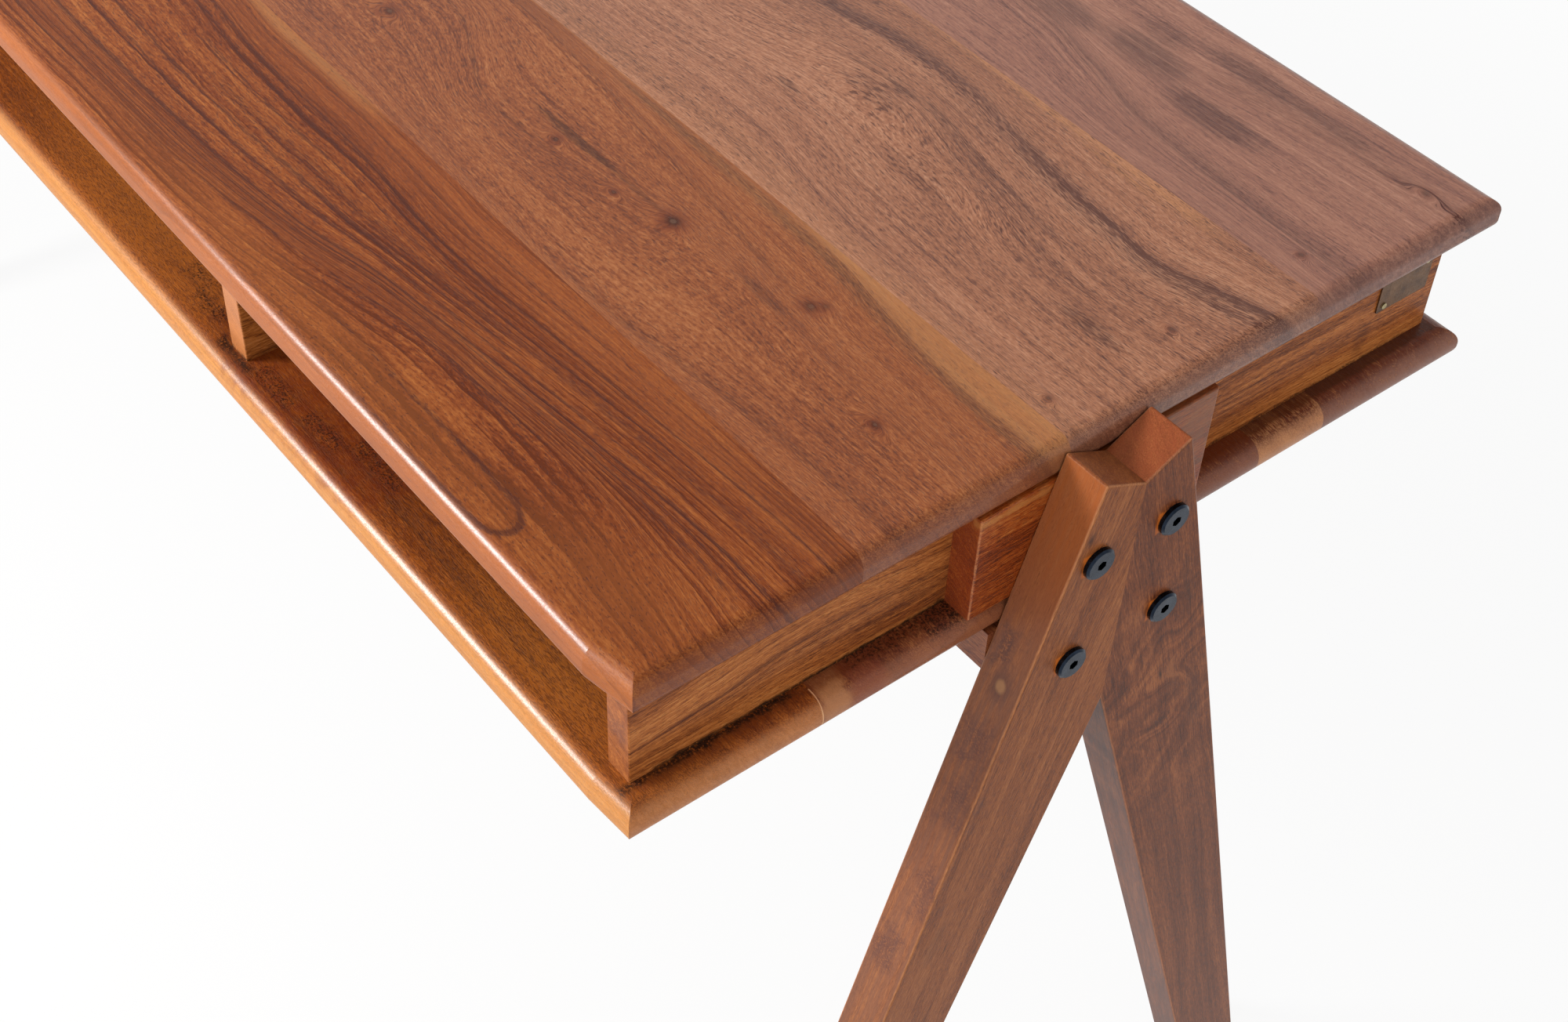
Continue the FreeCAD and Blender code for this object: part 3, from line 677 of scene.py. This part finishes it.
def makeWood(name, changes):
    wood = startWood(name, dict(plainWood, **changes))
    layGrain(wood)
    drawMarks(wood)
    layFibres(wood)
    feed(wood.tree, wood.shader.inputs["Base Color"], tintFaces(wood, tintFigure(wood)))
    varnish(wood)
    return wood.material


def dress(material, *names):
    for name in names:
        held = nodes[name].data.materials
        held.clear()
        held.append(material)


endGrain = ((1, 0, 0), 0.5, 1.0, 0.45, (128, 74, 54))
edgeGloss = ((0, -0.71, 0.71), 0.72, 0.95, 40, 340, 0.4, 1.0)
smoke = (78, 52, 50)
topFace = 760.0

# top board, from the front plank to the back one
topPlanks = {
    "top_plank_1": {
        "guides": (
            (-151, -151),
            (-178, (-300, -186), (7, -182), (67, -187), (192, -190), (292, -195), (392, -187),
             (492, -180), -174),
            (-236, (-300, -252), (-48, -260), (67, -257), (192, -250), (292, -235), (392, -225),
             (492, -215), -209),
            (-262, (-300, -272), (32, -277), (142, -273), (222, -262), (292, -251), (392, -241),
             (492, -238), (542, -244), -268),
            (-330, -330),
        ),
        "hooks": ((467, -283, 20, 12, 2, 1.7),),
        "calms": ((340, -286, 190, 20, 0.7), (80, -290, 160, 16, 0.5), (560, -262, 60, 24, 0.4)),
        "seed": 3.1, "count": 9, "rag": 0.16, "lineGain": 1.2, "bandGain": 0.5, "fineGain": 1.25,
        "fleckGain": 1.1, "poreDepth": 0.5, "poreBands": 0.7, "dashDepth": 0.55, "sheen": 0.1,
        "coat": 0.1, "coatRough": 0.28, "gloss": edgeGloss, "toneGain": 0.6,
        "dark": (94, 43, 22), "red": (123, 60, 30), "middle": (144, 77, 37), "light": (174, 104, 53),
        "bands": (
            (0.55, 0.02, 0, 420, 0.9), (1, 0.03, -600, 600, 1.3), (1.12, 0.02, -600, 300, 1.2),
            (1.28, 0.02, 60, 480, 1.2), (1.45, 0.07, 100, 600, 0.6), (1.62, 0.02, -100, 360, 1.3),
            (1.78, 0.025, -200, 500, 1.1), (2, 0.03, -600, 600, 1.6), (2.16, 0.02, 140, 540, 1.2),
            (2.35, 0.04, -100, 560, 0.8), (2.62, 0.02, -300, 260, 1), (3, 0.03, -100, 420, 1),
        ),
        "dots": (
            (300, -284, 250, 18, 0.35, (158, 92, 44)), (260, -170, 420, 16, 0.4, (152, 84, 48)),
            (548, -264, 62, 22, 0.6, (138, 76, 38)),
        ),
        "saps": ((-0.2, 0.42, 20, 130, 0.55),),
        "sides": (endGrain, ((0, 1, 0), 0.25, 0.8, 0.8, (168, 92, 34))),
    },
    "top_plank_2": {
        "guides": (
            (-17, -17),
            (-30, (-200, -34), (122, -26), (242, -29), (342, -29), (417, -30), (467, -37),
             (542, -44), -42),
            (-50, (-200, -44), (122, -34), (192, -39), (267, -48), (342, -57), (417, -65),
             (492, -68), -76),
            (-92, (-100, -60), (92, -68), (152, -88), (202, -102), (292, -96), (343, -90),
             (417, -83), (492, -90), -90),
            (-140, (22, -135), (192, -145), (367, -154), (442, -146), (492, -140), -138),
            (-170, -170),
        ),
        "seed": 8.7, "bandGain": 0.5, "fineGain": 0.8, "dashDepth": 0.5, "sheen": 0.18,
        "dark": (104, 56, 38), "red": (134, 74, 45), "middle": (152, 88, 52), "light": (178, 114, 71),
        "bands": (
            (2, 0.06, -600, 400, 0.5), (3, 0.03, 60, 240, 0.7), (4, 0.08, 350, 600, 0.5),
            (1.12, 0.16, 240, 640, 0.8, (112, 84, 56)),
        ),
        "saps": ((-0.2, 1, 420, 640, 0.5), (0, 0.8, 100, 260, 0.3), (0.2, 0.7, 260, 440, 0.2)),
        "knots": (
            (343.5, -82.5, 4.2, 1), (443.5, -66, 3.6, 0.7), (79.5, -101.5, 3.4, 0.8),
            (532.5, -96.5, 2.4, 0.8), (244.5, -92.5, 2, 0.8), (303.5, -94, 1.6, 0.8),
            (448, -60, 2.2, 0.5),
        ),
        "patches": (
            (252, -83, 44, 3.6, 0.9, (62, 44, 30)),
            (312, -83, 30, 2.2, 0.7, (66, 36, 26)),
            (420, -80, 22, 4, 0.55, (70, 36, 26)),
        ),
        "sides": (endGrain,),
    },
    "top_plank_3": {
        "guides": (
            (164, 164),
            (120, (0, 112), (237, 122), (292, 130), (342, 130), (392, 122), (442, 115), (492, 110),
             (522, 106), (552, 112), 138),
            (60, (182, 55), (292, 70), (392, 65), (492, 55), 60),
            (15, (152, 10), (292, 20), (392, 5), (492, 0), 5),
            (-36, -36),
        ),
        "eyes": ((329, 86, 64, 20, 0.3), (420, 66, 50, 16, 0.16)),
        "seed": 15.3, "count": 9, "bandGain": 0.6, "fleckGain": 1.8, "dash": 0.6, "dashDepth": 0.7,
        "sheen": 0.3,
        # these colours hold part of the varnish's sheen: a painted reflection that makes them paler and
        # greyer than the bare wood
        "dark": (110, 70, 56), "red": (147, 94, 68), "middle": (165, 109, 80),
        "light": (189, 135, 103),
        "bands": (
            (1, 0.1, -600, 640, 0.42, (88, 60, 56)), (1.06, 0.18, 200, 640, 0.42, (92, 64, 58)),
            (0.98, 0.025, 420, 600, 0.6), (1.12, 0.14, 430, 640, 0.35),
            (1.62, 0.03, 280, 460, 0.7), (1.75, 0.04, 300, 440, 0.7), (1.9, 0.03, 320, 520, 0.6),
        ),
        "sapColour": (198, 136, 88),
        "saps": ((-0.3, 0.34, 320, 490, 0.6), (-0.3, 0.25, 150, 330, 0.3), (3.35, 4.3, 100, 640, 0.15)),
        "patches": (
            (542, 42, 26, 6, 0.8, (66, 38, 30)), (282, 46, 12, 3, 0.7, (66, 34, 26)),
            (325, 97, 14, 3, 0.6, (70, 40, 30)), (318, 82, 30, 10, 0.45, (96, 60, 46)),
            (392, 52, 30, 12, 0.35, (96, 60, 46)),
        ),
        "knots": ((568.5, 74, 1.6, 0.7), (569.5, -13.5, 1.6, 0.7)),
        "sides": (((1, 0, 0), 0.3, 1, 0.6, (104, 58, 42)),),
    },
    "top_plank_4": {
        "guides": (
            (330, 330),
            (262, (322, 245), (392, 250), (467, 260), (542, 267), 271),
            (226, (200, 226), (302, 220), (367, 205), (442, 188), (507, 183), 182),
            (146, 146),
        ),
        "seed": 23.9, "count": 11, "bandGain": 0.5, "dash": 0.4, "dashDepth": 0.3, "fleckGain": 0.9,
        "sheen": 0.25, "coat": 0.08,
        # these colours hold part of the varnish's sheen: a painted reflection that makes them paler and
        # greyer than the bare wood
        "dark": (108, 72, 64), "red": (144, 97, 82), "middle": (160, 110, 90),
        "light": (183, 133, 110),
        "bands": (
            (2, 0.09, 200, 640, 0.7, (86, 58, 54)), (1, 0.08, 440, 640, 0.5),
            (1.02, 0.014, 574, 640, 2.2, (74, 24, 18)),
        ),
        "patches": (
            (384, 238, 36, 16, 1, smoke), (452, 224, 40, 14, 1, smoke),
            (322, 230, 30, 12, 0.8, smoke), (440, 272, 46, 9, 0.9, smoke),
            (376, 262, 22, 10, 0.7, smoke), (500, 274, 34, 6, 0.8, smoke),
        ),
        "knots": ((567, 173, 1.7, 0.7), (571, 268, 2.4, 0.6)),
        "sides": (((1, 0, 0), 0.3, 1, 0.7, (100, 56, 44)),),
    },
}
for nodeName, look in topPlanks.items():
    look["level"] = topFace
    dress(makeWood(nodeName.replace("_", "."), look), nodeName)
print("top board dressed")

# bottom board, from the front plank to the back one, with old stain beside the end panel
bottomSeams = (-300, -177, -20, 134, 186, 300)
shelf = 664
shelfGuides = {"behind": 12, "before": 30, "step": 34}  # guides reach past both seams
blackWaxAndShade = (36, 22, 16)
redWax = (112, 52, 24)
frontWax = (  # x, y, half sizes, rag, grit
    (198, -270, (12, 5), 4, 0.48), (225, -277, (14, 5), 4, 0.46), (271, -287, (18, 3), 3, 0.34),
    (308, -282, (20, 6), 4, 0.48), (357, -279, (18, 6), 4, 0.47), (398, -267, (22, 7), 4, 0.47),
)
bottomLooks = {
    "bottom_plank_1": {
        "seed": 31, "fleckGain": 1.2, "coat": 0.1, "coatRough": 0.28, "gloss": edgeGloss,
        "pore": 1, "poreDepth": 0.5, "dash": 0.1, "dashDepth": 0.4, "fineGain": 0.9,
        "dark": (94, 40, 13), "red": (130, 62, 21), "middle": (154, 80, 29), "light": (186, 108, 46),
        "bands": (
            (3.35, 0.1, 250, 480, 0.7), (3, 0.08, 380, 600, 0.4),
            (3.74, 0.05, 212, 320, 1.3, blackWaxAndShade), (3.45, 0.035, 370, 500, 0.9, blackWaxAndShade),
        ),
        # the two golden ovals near the front of the compartment floors are painted light, where light
        # falls in under the top board
        "dots": ((40, -260, 150, 60, 0.6, (176, 104, 44)), (520, -268, 110, 40, 0.5, (188, 114, 46))),
        "sides": (
            ((1, 0, 0), 0.35, 0.95, 0.7, (220, 148, 94)), ((0, 1, 0), 0.25, 0.8, 0.85, (208, 140, 66)),
        ),
        "stainsAndPaintedLight": (
            ((246, -270, shelf), (14, 14, 3), 6, 0.3, 0.6, (98, 40, 18)),
            ((350, -270, shelf), (72, 24, 3), 9, 0.25, 0.6, (118, 44, 16)),
            *(((x, y, shelf), (*half, 3), *edge, 0.9, blackWaxAndShade) for x, y, half, *edge in frontWax),
            ((430, -284, shelf), (60, 3, 3), 4, 0.46, 0.6, redWax),
            ((661, -232, shelf), (4.5, 54, 4), 3, 0.3, 0.6, redWax),
            ((658, -200, shelf), (3.5, 50, 3), 3, 0.48, 0.8, blackWaxAndShade),
            ((658.5, -240, shelf), (2.4, 52, 3), 2, 0.36, 0.9, blackWaxAndShade),
            ((674, -177.2, 655), (12, 0.45, 12), 0.3, 0.05, 0.95, (226, 170, 124)),
        ),
    },
    "bottom_plank_2": {
        "seed": 36,
        "sides": (((1, 0, 0), 0.35, 0.95, 0.6, (172, 108, 74)),),
        "stainsAndPaintedLight": (
            ((668, -168, 656), (10, 8, 14), 3, 0.15, 0.55, (200, 138, 90)),
            ((668, -146, 656), (10, 10, 12), 4, 0.3, 0.5, (140, 70, 48)),
            ((660, -120, shelf), (4.5, 62, 4), 3, 0.3, 0.6, (116, 54, 26)),
            ((660, -112, shelf), (5.5, 40, 4), 4, 0.46, 0.85, blackWaxAndShade),
            ((664, -92, 662), (8, 10, 6), 4, 0.45, 0.8, blackWaxAndShade),
        ),
    },
    "bottom_plank_3": {
        "seed": 41, "middle": (116, 62, 40),
        "sides": (((1, 0, 0), 0.35, 0.95, 0.8, (150, 96, 74)),),
        "stainsAndPaintedLight": (((660, 112, shelf), (6, 40, 4), 3, 0.3, 0.85, redWax),),
    },
    "bottom_plank_4": {
        "seed": 46, "middle": (160, 104, 66), "light": (186, 130, 84),
        "sides": (((1, 0, 0), 0.35, 0.95, 0.7, (220, 152, 102)),),
        "stainsAndPaintedLight": (((660, 160, shelf), (4.5, 40, 4), 1.5, 0.28, 0.75, (92, 48, 25)),),
    },
    "bottom_plank_5": {
        "seed": 51, "middle": (112, 62, 44),
        "sides": (((1, 0, 0), 0.35, 0.95, 0.6, (160, 112, 92)),),
        "stainsAndPaintedLight": (((660, 236, shelf), (4.5, 52, 4), 1.5, 0.28, 0.75, (78, 44, 29)),),
    },
}
for number, (nodeName, look) in enumerate(bottomLooks.items()):
    behind = bottomSeams[number + 1] + shelfGuides["behind"]
    before = bottomSeams[number] - shelfGuides["before"]
    look["guides"] = straightGuides(behind, before, shelfGuides["step"])
    look["level"] = shelf
    dress(makeWood(nodeName.replace("_", "."), look), nodeName)
print("bottom board dressed")

# case: end panels, dividers, back and spacers
caseGuides = straightGuides(770, 640, 26)
caseLooks = {
    "endPanelWood": {
        "axes": "depth", "seed": 61, "level": 657, "count": 5, "wobble": 3,
        "sheen": 0.06, "coat": 0.06, "dashDepth": 0.4, "fleckGain": 0.9, "rag": 0.2,
        "guides": (
            (752, 752),
            (716, (-300, 716), (-168, 724), (-84, 718), (100, 716), (300, 711), 711),
            (684, (-300, 686), (-240, 690), (-168, 698), (-132, 696), (-84, 690), (0, 686),
             (150, 690), (300, 684), 684),
            (671, (-300, 672), (-100, 668), (100, 672), (300, 668), 668),
            (646, 646),
        ),
        "dark": (98, 50, 24), "red": (146, 80, 38), "middle": (178, 104, 50), "light": (210, 138, 76),
        "bands": (
            (2, 0.07, -250, -60, 0.85, (70, 34, 24)), (2.3, 0.12, -230, -40, 0.5, (92, 44, 28)),
            (1.45, 0.06, -180, 0, 0.3), (2.85, 0.12, -150, 40, 0.6, (112, 46, 24)),
            (1.2, 0.05, 110, 280, 0.45), (1.8, 0.06, 90, 230, 0.4),
            (2.4, 0.08, 120, 280, 0.45, (160, 78, 30)),
        ),
        "patches": ((228, 682, 7, 14, 0.6, (96, 52, 34)), (-115, 680, 40, 3, 0.6, (80, 36, 24))),
        "sides": (((0, 1, 0), 0.7, 0.95, 0.7, (134, 78, 50)),),
        "stainsAndPaintedLight": (
            ((657, -165, 664.5), (4, 105, 1.6), 1.6, 0.3, 0.95, blackWaxAndShade),
            ((657, 190, 664.5), (4, 80, 1), 1.4, 0.4, 0.8, blackWaxAndShade),
            # the black line along the top of the end panel, just under the top board, is painted shade
            ((657, 0, 737), (4, 86, 3), 2, 0.35, 0.9, blackWaxAndShade),
            ((647, -284, 697), (6, 3, 7), 4, 0.35, 0.5, (96, 60, 52)),
        ),
        "names": ("end_panel_right", "end_panel_left"),
    },
    "dividerWood": {
        "axes": "depth", "seed": 66, "level": 270, "guides": caseGuides,
        "dark": (104, 54, 22), "red": (150, 84, 36), "middle": (180, 108, 50), "light": (208, 136, 74),
        "sides": (((0, 1, 0), 0.7, 0.95, 0.85, (190, 120, 72)),),
        "stainsAndPaintedLight": (((271, -284, 664.5), (11, 2, 1.4), 1.4, 0.35, 0.95, blackWaxAndShade),),
        "names": ("divider_right", "divider_left"),
    },
    "backPanelWood": {
        "axes": "wall", "seed": 71, "level": 280, "guides": caseGuides,
        "names": ("back_panel",),
    },
    "spacerWood": {
        "axes": "depth", "seed": 76, "level": 675, "guides": caseGuides,
        "dark": (92, 36, 12), "red": (134, 56, 18), "middle": (162, 76, 26), "light": (190, 112, 52),
        "sides": (((0, 1, 0), 0.7, 0.95, 0.6, (142, 64, 38)),),
        "stainsAndPaintedLight": (
            # the two light lines along the spacer's end edges are partly rubbed arrises and partly
            # painted highlight
            ((675.5, -82.75, 701), (0.7, 0.7, 40), 0.5, 0.35, 0.7, (206, 132, 82)),
            ((675.5, 82.75, 701), (0.9, 0.9, 40), 0.5, 0.25, 0.7, (206, 140, 98)),
            ((674, -60, 734), (4, 24, 2.5), 2, 0.2, 0.7, (190, 124, 66)),
            ((674, 62, 712), (4, 22, 28), 6, 0.2, 0.6, (138, 90, 58)),
        ),
        "names": ("spacer_right", "spacer_left"),
    },
}
for title, look in caseLooks.items():
    dress(makeWood(title, look), *look["names"])
print("case dressed")


# legs and rail; a spot on a leg is given by its y and z
def onLeg(side, y, z):
    along, across = grainAxes[side][0], grainAxes[side][1]
    return ((along[1] * y + along[2] * z) / 1000, (across[1] * y + across[2] * z) / 1000)


boltSet = {
    "spots": ((26.4, 699.5), (33.5, 627)),
    "face": 705.5,
    "glow": ((-3, 1), (2, 7.6, 7.6), 1.2, 0.1, 0.75, (214, 112, 36)),
    "tear": ((0.5, 9.4), (2, 5, 1.6), 0.9, 0.46, 0.95, blackWaxAndShade),
}


def boltMarks(look, front):
    # warm rim on the front side of each bolt and torn fibres above it
    marks = []
    for y, z in look["spots"]:
        y = -y if front else y
        for (besideY, aboveZ), *stain in (look["glow"], look["tear"]):
            marks.append(((look["face"], y + besideY, z + aboveZ), *stain))
    return tuple(marks)


legReach = (guideStart, 840)
legKnot = onLeg("frontLeg", -68.6, 617.6)[0]
legLooks = {
    "frontLegWood": {
        "axes": "frontLeg", "seed": 81, "level": 690, "guides": straightGuides(-130, -300, 28),
        "dark": (102, 54, 28), "red": (134, 74, 38), "middle": (152, 88, 46), "light": (180, 114, 66),
        "bandGain": 0.7, "fineGain": 0.8, "fleckGain": 1.1, "dash": 0.4, "dashDepth": 0.35,
        "sheen": 0.06, "coat": 0.06,
        "dots": (
            (*onLeg("frontLeg", -34.2, 720), 4, 2.2, 0.85, (66, 42, 34)),
            (*onLeg("frontLeg", -95.4, 410), 5, 0.7, 0.8, (60, 36, 28)),
        ),
        "sideDots": (
            (legKnot, 692, 14, 9, 0.1, 0.6, (84, 60, 58)),
            (legKnot, 692, 5, 3.8, 0.5, 0.75, (166, 120, 82)),
        ),
        "patches": ((*onLeg("frontLeg", -96, 420), 22, 7, 0.5, (84, 54, 42)),),
        "sides": (
            # the greyish-pink colour of the narrow sides is partly the wood's own and partly painted
            # sheen
            ((0, 1, 0), 0.6, 0.9, 0.85, (122, 84, 68)),
            ((0, 1, 0), 0.6, 0.9, 0.8, (160, 84, 34), 570, 690),
            # the darker colour on the tops of the legs is painted shade, where the notch slope faces
            # away from the light
            ((0, 0, 1), 0.7, 0.85, 0.7, (112, 60, 40)),
        ),
        # the light arris colour is partly rubbed wear and partly painted highlight
        "arris": ((1, 0, 0), 1, (204, 140, 96)),
        "stainsAndPaintedLight": boltMarks(boltSet, True) + (
            ((686, -62, 640), (5, 6, 12), 6, 0.38, 0.7, (84, 58, 56)),
            ((690, -80, 575), (9, 6, 14), 7, 0.38, 0.6, (88, 60, 58)),
            ((694, -92, 535), (8, 6, 16), 7, 0.38, 0.6, (88, 60, 58)),
            ((697, -110, 470), (5, 6, 20), 6, 0.38, 0.65, (86, 58, 56)),
            ((688, -126, 418), (8, 6, 14), 6, 0.38, 0.65, (86, 58, 56)),
        ),
        "names": ("leg_front_right", "leg_front_left"),
    },
    "rearLegWood": {
        "axes": "rearLeg", "seed": 86, "level": 690, "guides": straightGuides(300, 130, 28),
        "dark": (80, 40, 23), "red": (108, 56, 30), "middle": (127, 69, 37), "light": (163, 97, 54),
        "bandGain": 0.6, "fineGain": 0.7, "fleckGain": 1, "dash": 0.3, "dashDepth": 0.3,
        "sheen": 0.06, "coat": 0.06,
        "flames": ((*onLeg("rearLeg", 52, 545), 120, 60, -42, 2.2),),
        "dots": ((*onLeg("rearLeg", 48.3, 558.5), 5, 1, 0.9, (40, 26, 24)),),
        "patches": (
            (*onLeg("rearLeg", 68, 550), 24, 6, 0.6, (84, 52, 40)),
            (*onLeg("rearLeg", 92, 514), 40, 7, 0.6, (80, 50, 40)),
            (*onLeg("rearLeg", 60, 640), 30, 5, 0.4, (90, 56, 40)),
        ),
        "sides": (
            # the dark colour of the narrow sides is painted shade, for the inner side that faces down
            # between the legs
            ((0, 1, 0), 0.6, 0.9, 0.6, (74, 46, 38)),
            # the lighter orange on the tops of the legs is painted light, where the notch slope faces
            # the light
            ((0, 0, 1), 0.7, 0.85, 0.65, (154, 78, 46)),
        ),
        # the light arris colour is partly rubbed wear and partly painted highlight
        "arris": ((1, 0, 0), 0.9, (196, 134, 98)),
        "stainsAndPaintedLight": boltMarks(boltSet, False),
        "names": ("leg_rear_right", "leg_rear_left"),
    },
    "railWood": {
        "seed": 91, "level": 627, "guides": straightGuides(80, -80, 30),
        "names": ("under_rail",),
    },
    "dowelWood": {
        "seed": 96, "guides": straightGuides(310, -310, 40),
        "red": (168, 126, 84), "middle": (190, 150, 104), "light": (208, 172, 126),
        "names": ("top_dowels", "bottom_dowels", "leg_dowels_right", "leg_dowels_left"),
    },
}
for title, look in legLooks.items():
    look["span"] = legReach
    dress(makeWood(title, look), *look["names"])
print("legs and rail dressed")


# metal: finish with fine noise in colour, roughness and bump
metalRange = (0.3, 0.7)  # noise levels of the two colours and the two roughnesses
cloudDetail = (4.0, 0.6)
gritDetail = (3.0, 0.6)


def makeMetal(name, look):
    material, tree, shader = newMaterial(name)
    at = place(tree, "ShaderNodeTexCoord").outputs["Object"]
    cloud = noise(tree, at, look["cloud"], *cloudDetail)
    grit = noise(tree, at, look["grit"], *gritDetail)
    shades = tuple(zip(metalRange, (look["dark"], look["light"])))
    feed(tree, shader.inputs["Base Color"], rampOf(tree, cloud, shades))
    feed(tree, shader.inputs["Roughness"], ease(tree, grit, *metalRange, look["smooth"], look["rough"]))
    shader.inputs["Metallic"].default_value = look["metallic"]
    bumpOf(tree, shader, grit, look["bump"])
    return material


metalLooks = {
    "blackSteel": {
        "dark": (28, 34, 44), "light": (46, 54, 67), "metallic": 1.0, "smooth": 0.2, "rough": 0.34,
        "cloud": 180.0, "grit": 1400.0, "bump": 0.00002,
        "names": ("upper_bolts_right", "upper_bolts_left", "lower_bolts_right", "lower_bolts_left"),
    },
    "platedSteel": {
        "dark": (150, 148, 140), "light": (190, 188, 180), "metallic": 1.0, "smooth": 0.25, "rough": 0.4,
        "cloud": 200.0, "grit": 1500.0, "bump": 0.00002,
        "names": (
            "sleeve_nuts_right", "sleeve_nuts_left", "barrel_nuts_right", "barrel_nuts_left",
            "rail_screws",
        ),
    },
    "bronzedBrass": {
        "dark": (78, 52, 32), "light": (118, 84, 54), "metallic": 0.6, "smooth": 0.38, "rough": 0.55,
        "cloud": 120.0, "grit": 900.0, "bump": 0.00004, "names": ("blank_plate",),
    },
    "paleBrass": {
        "dark": (150, 136, 96), "light": (196, 184, 140), "metallic": 0.9, "smooth": 0.3, "rough": 0.45,
        "cloud": 300.0, "grit": 1500.0, "bump": 0.00002, "names": ("plate_pins",),
    },
}
for title, look in metalLooks.items():
    dress(makeMetal(title, look), *look["names"])
print("metal dressed")


# floor, world and lamps
floorSet = {
    "size": 9.0, "colour": (236, 236, 234), "roughness": 0.9,
    "nearWhite": 0.91, "near": 0.8, "far": 2.4,  # the shadow shows near the desk
}


def setFloor(look):
    half = look["size"]
    mesh = bpy.data.meshes.new("studioFloor")
    corners = [(-half, -half, 0), (half, -half, 0), (half, half, 0), (-half, half, 0)]
    mesh.from_pydata(corners, [], [(0, 1, 2, 3)])
    floor = bpy.data.objects.new("studioFloor", mesh)
    scene.collection.objects.link(floor)
    material, tree, shader = newMaterial("studioFloor")
    shader.inputs["Base Color"].default_value = paint(*look["colour"])
    shader.inputs["Roughness"].default_value = look["roughness"]
    shader.inputs["Specular IOR Level"].default_value = 0.0
    white = place(tree, "ShaderNodeEmission")
    rays = place(tree, "ShaderNodeLightPath").outputs
    mirrored = calc(tree, "MAXIMUM", rays["Is Glossy Ray"], rays["Is Transmission Ray"])
    seen = calc(tree, "MAXIMUM", rays["Is Camera Ray"], mirrored)
    at = place(tree, "ShaderNodeTexCoord").outputs["Object"]
    away = vectorCalc(tree, "LENGTH", at)["Value"]
    share = ease(tree, away, look["near"], look["far"], look["nearWhite"], 1.0)
    both = place(tree, "ShaderNodeMixShader")
    feed(tree, both.inputs[0], times(tree, seen, share))
    feed(tree, both.inputs[1], shader.outputs[0])
    feed(tree, both.inputs[2], white.outputs[0])
    feed(tree, tree.nodes["Material Output"].inputs[0], both.outputs[0])
    mesh.materials.append(material)


worldSet = {"side": 1.0, "roof": 0.12, "sideTo": 0.48, "roofFrom": 0.72}


def setWorld(look):
    world = bpy.data.worlds.new("studio")
    world.use_nodes = True
    tree = world.node_tree
    parts = place(tree, "ShaderNodeSeparateXYZ")
    feed(tree, parts.inputs[0], place(tree, "ShaderNodeTexCoord").outputs["Generated"])
    level = ease(tree, parts.outputs[2], look["sideTo"], look["roofFrom"], look["side"], look["roof"])
    ground = tree.nodes["Background"]
    ground.inputs["Color"].default_value = (1.0, 1.0, 1.0, 1.0)
    feed(tree, ground.inputs["Strength"], level)
    scene.world = world


lampSet = {
    "keyBox": {"from": (-0.585, -0.666, 0.463), "away": 2.4, "size": (0.7, 0.7), "power": 54.0},
    "topBox": {"from": (0.05, -0.1, 1.0), "away": 2.0, "size": (1.8, 1.2), "power": 12.0},
    "frontBox": {"from": (0.15, -0.95, 0.3), "away": 2.2, "size": (1.6, 1.0), "power": 12.0},
}
lampTarget = Vector((0.52, -0.25, 0.72))


def setLamps(lamps):
    for name, look in lamps.items():
        data = bpy.data.lights.new(name, "AREA")
        data.shape = "RECTANGLE"
        data.size, data.size_y = look["size"]
        data.energy = look["power"]
        lamp = bpy.data.objects.new(name, data)
        scene.collection.objects.link(lamp)
        heading = Vector(look["from"]).normalized()
        lamp.location = lampTarget + heading * look["away"]
        lamp.rotation_euler = heading.to_track_quat("Z", "Y").to_euler()


setFloor(floorSet)
setWorld(worldSet)
setLamps(lampSet)
print("studio set")
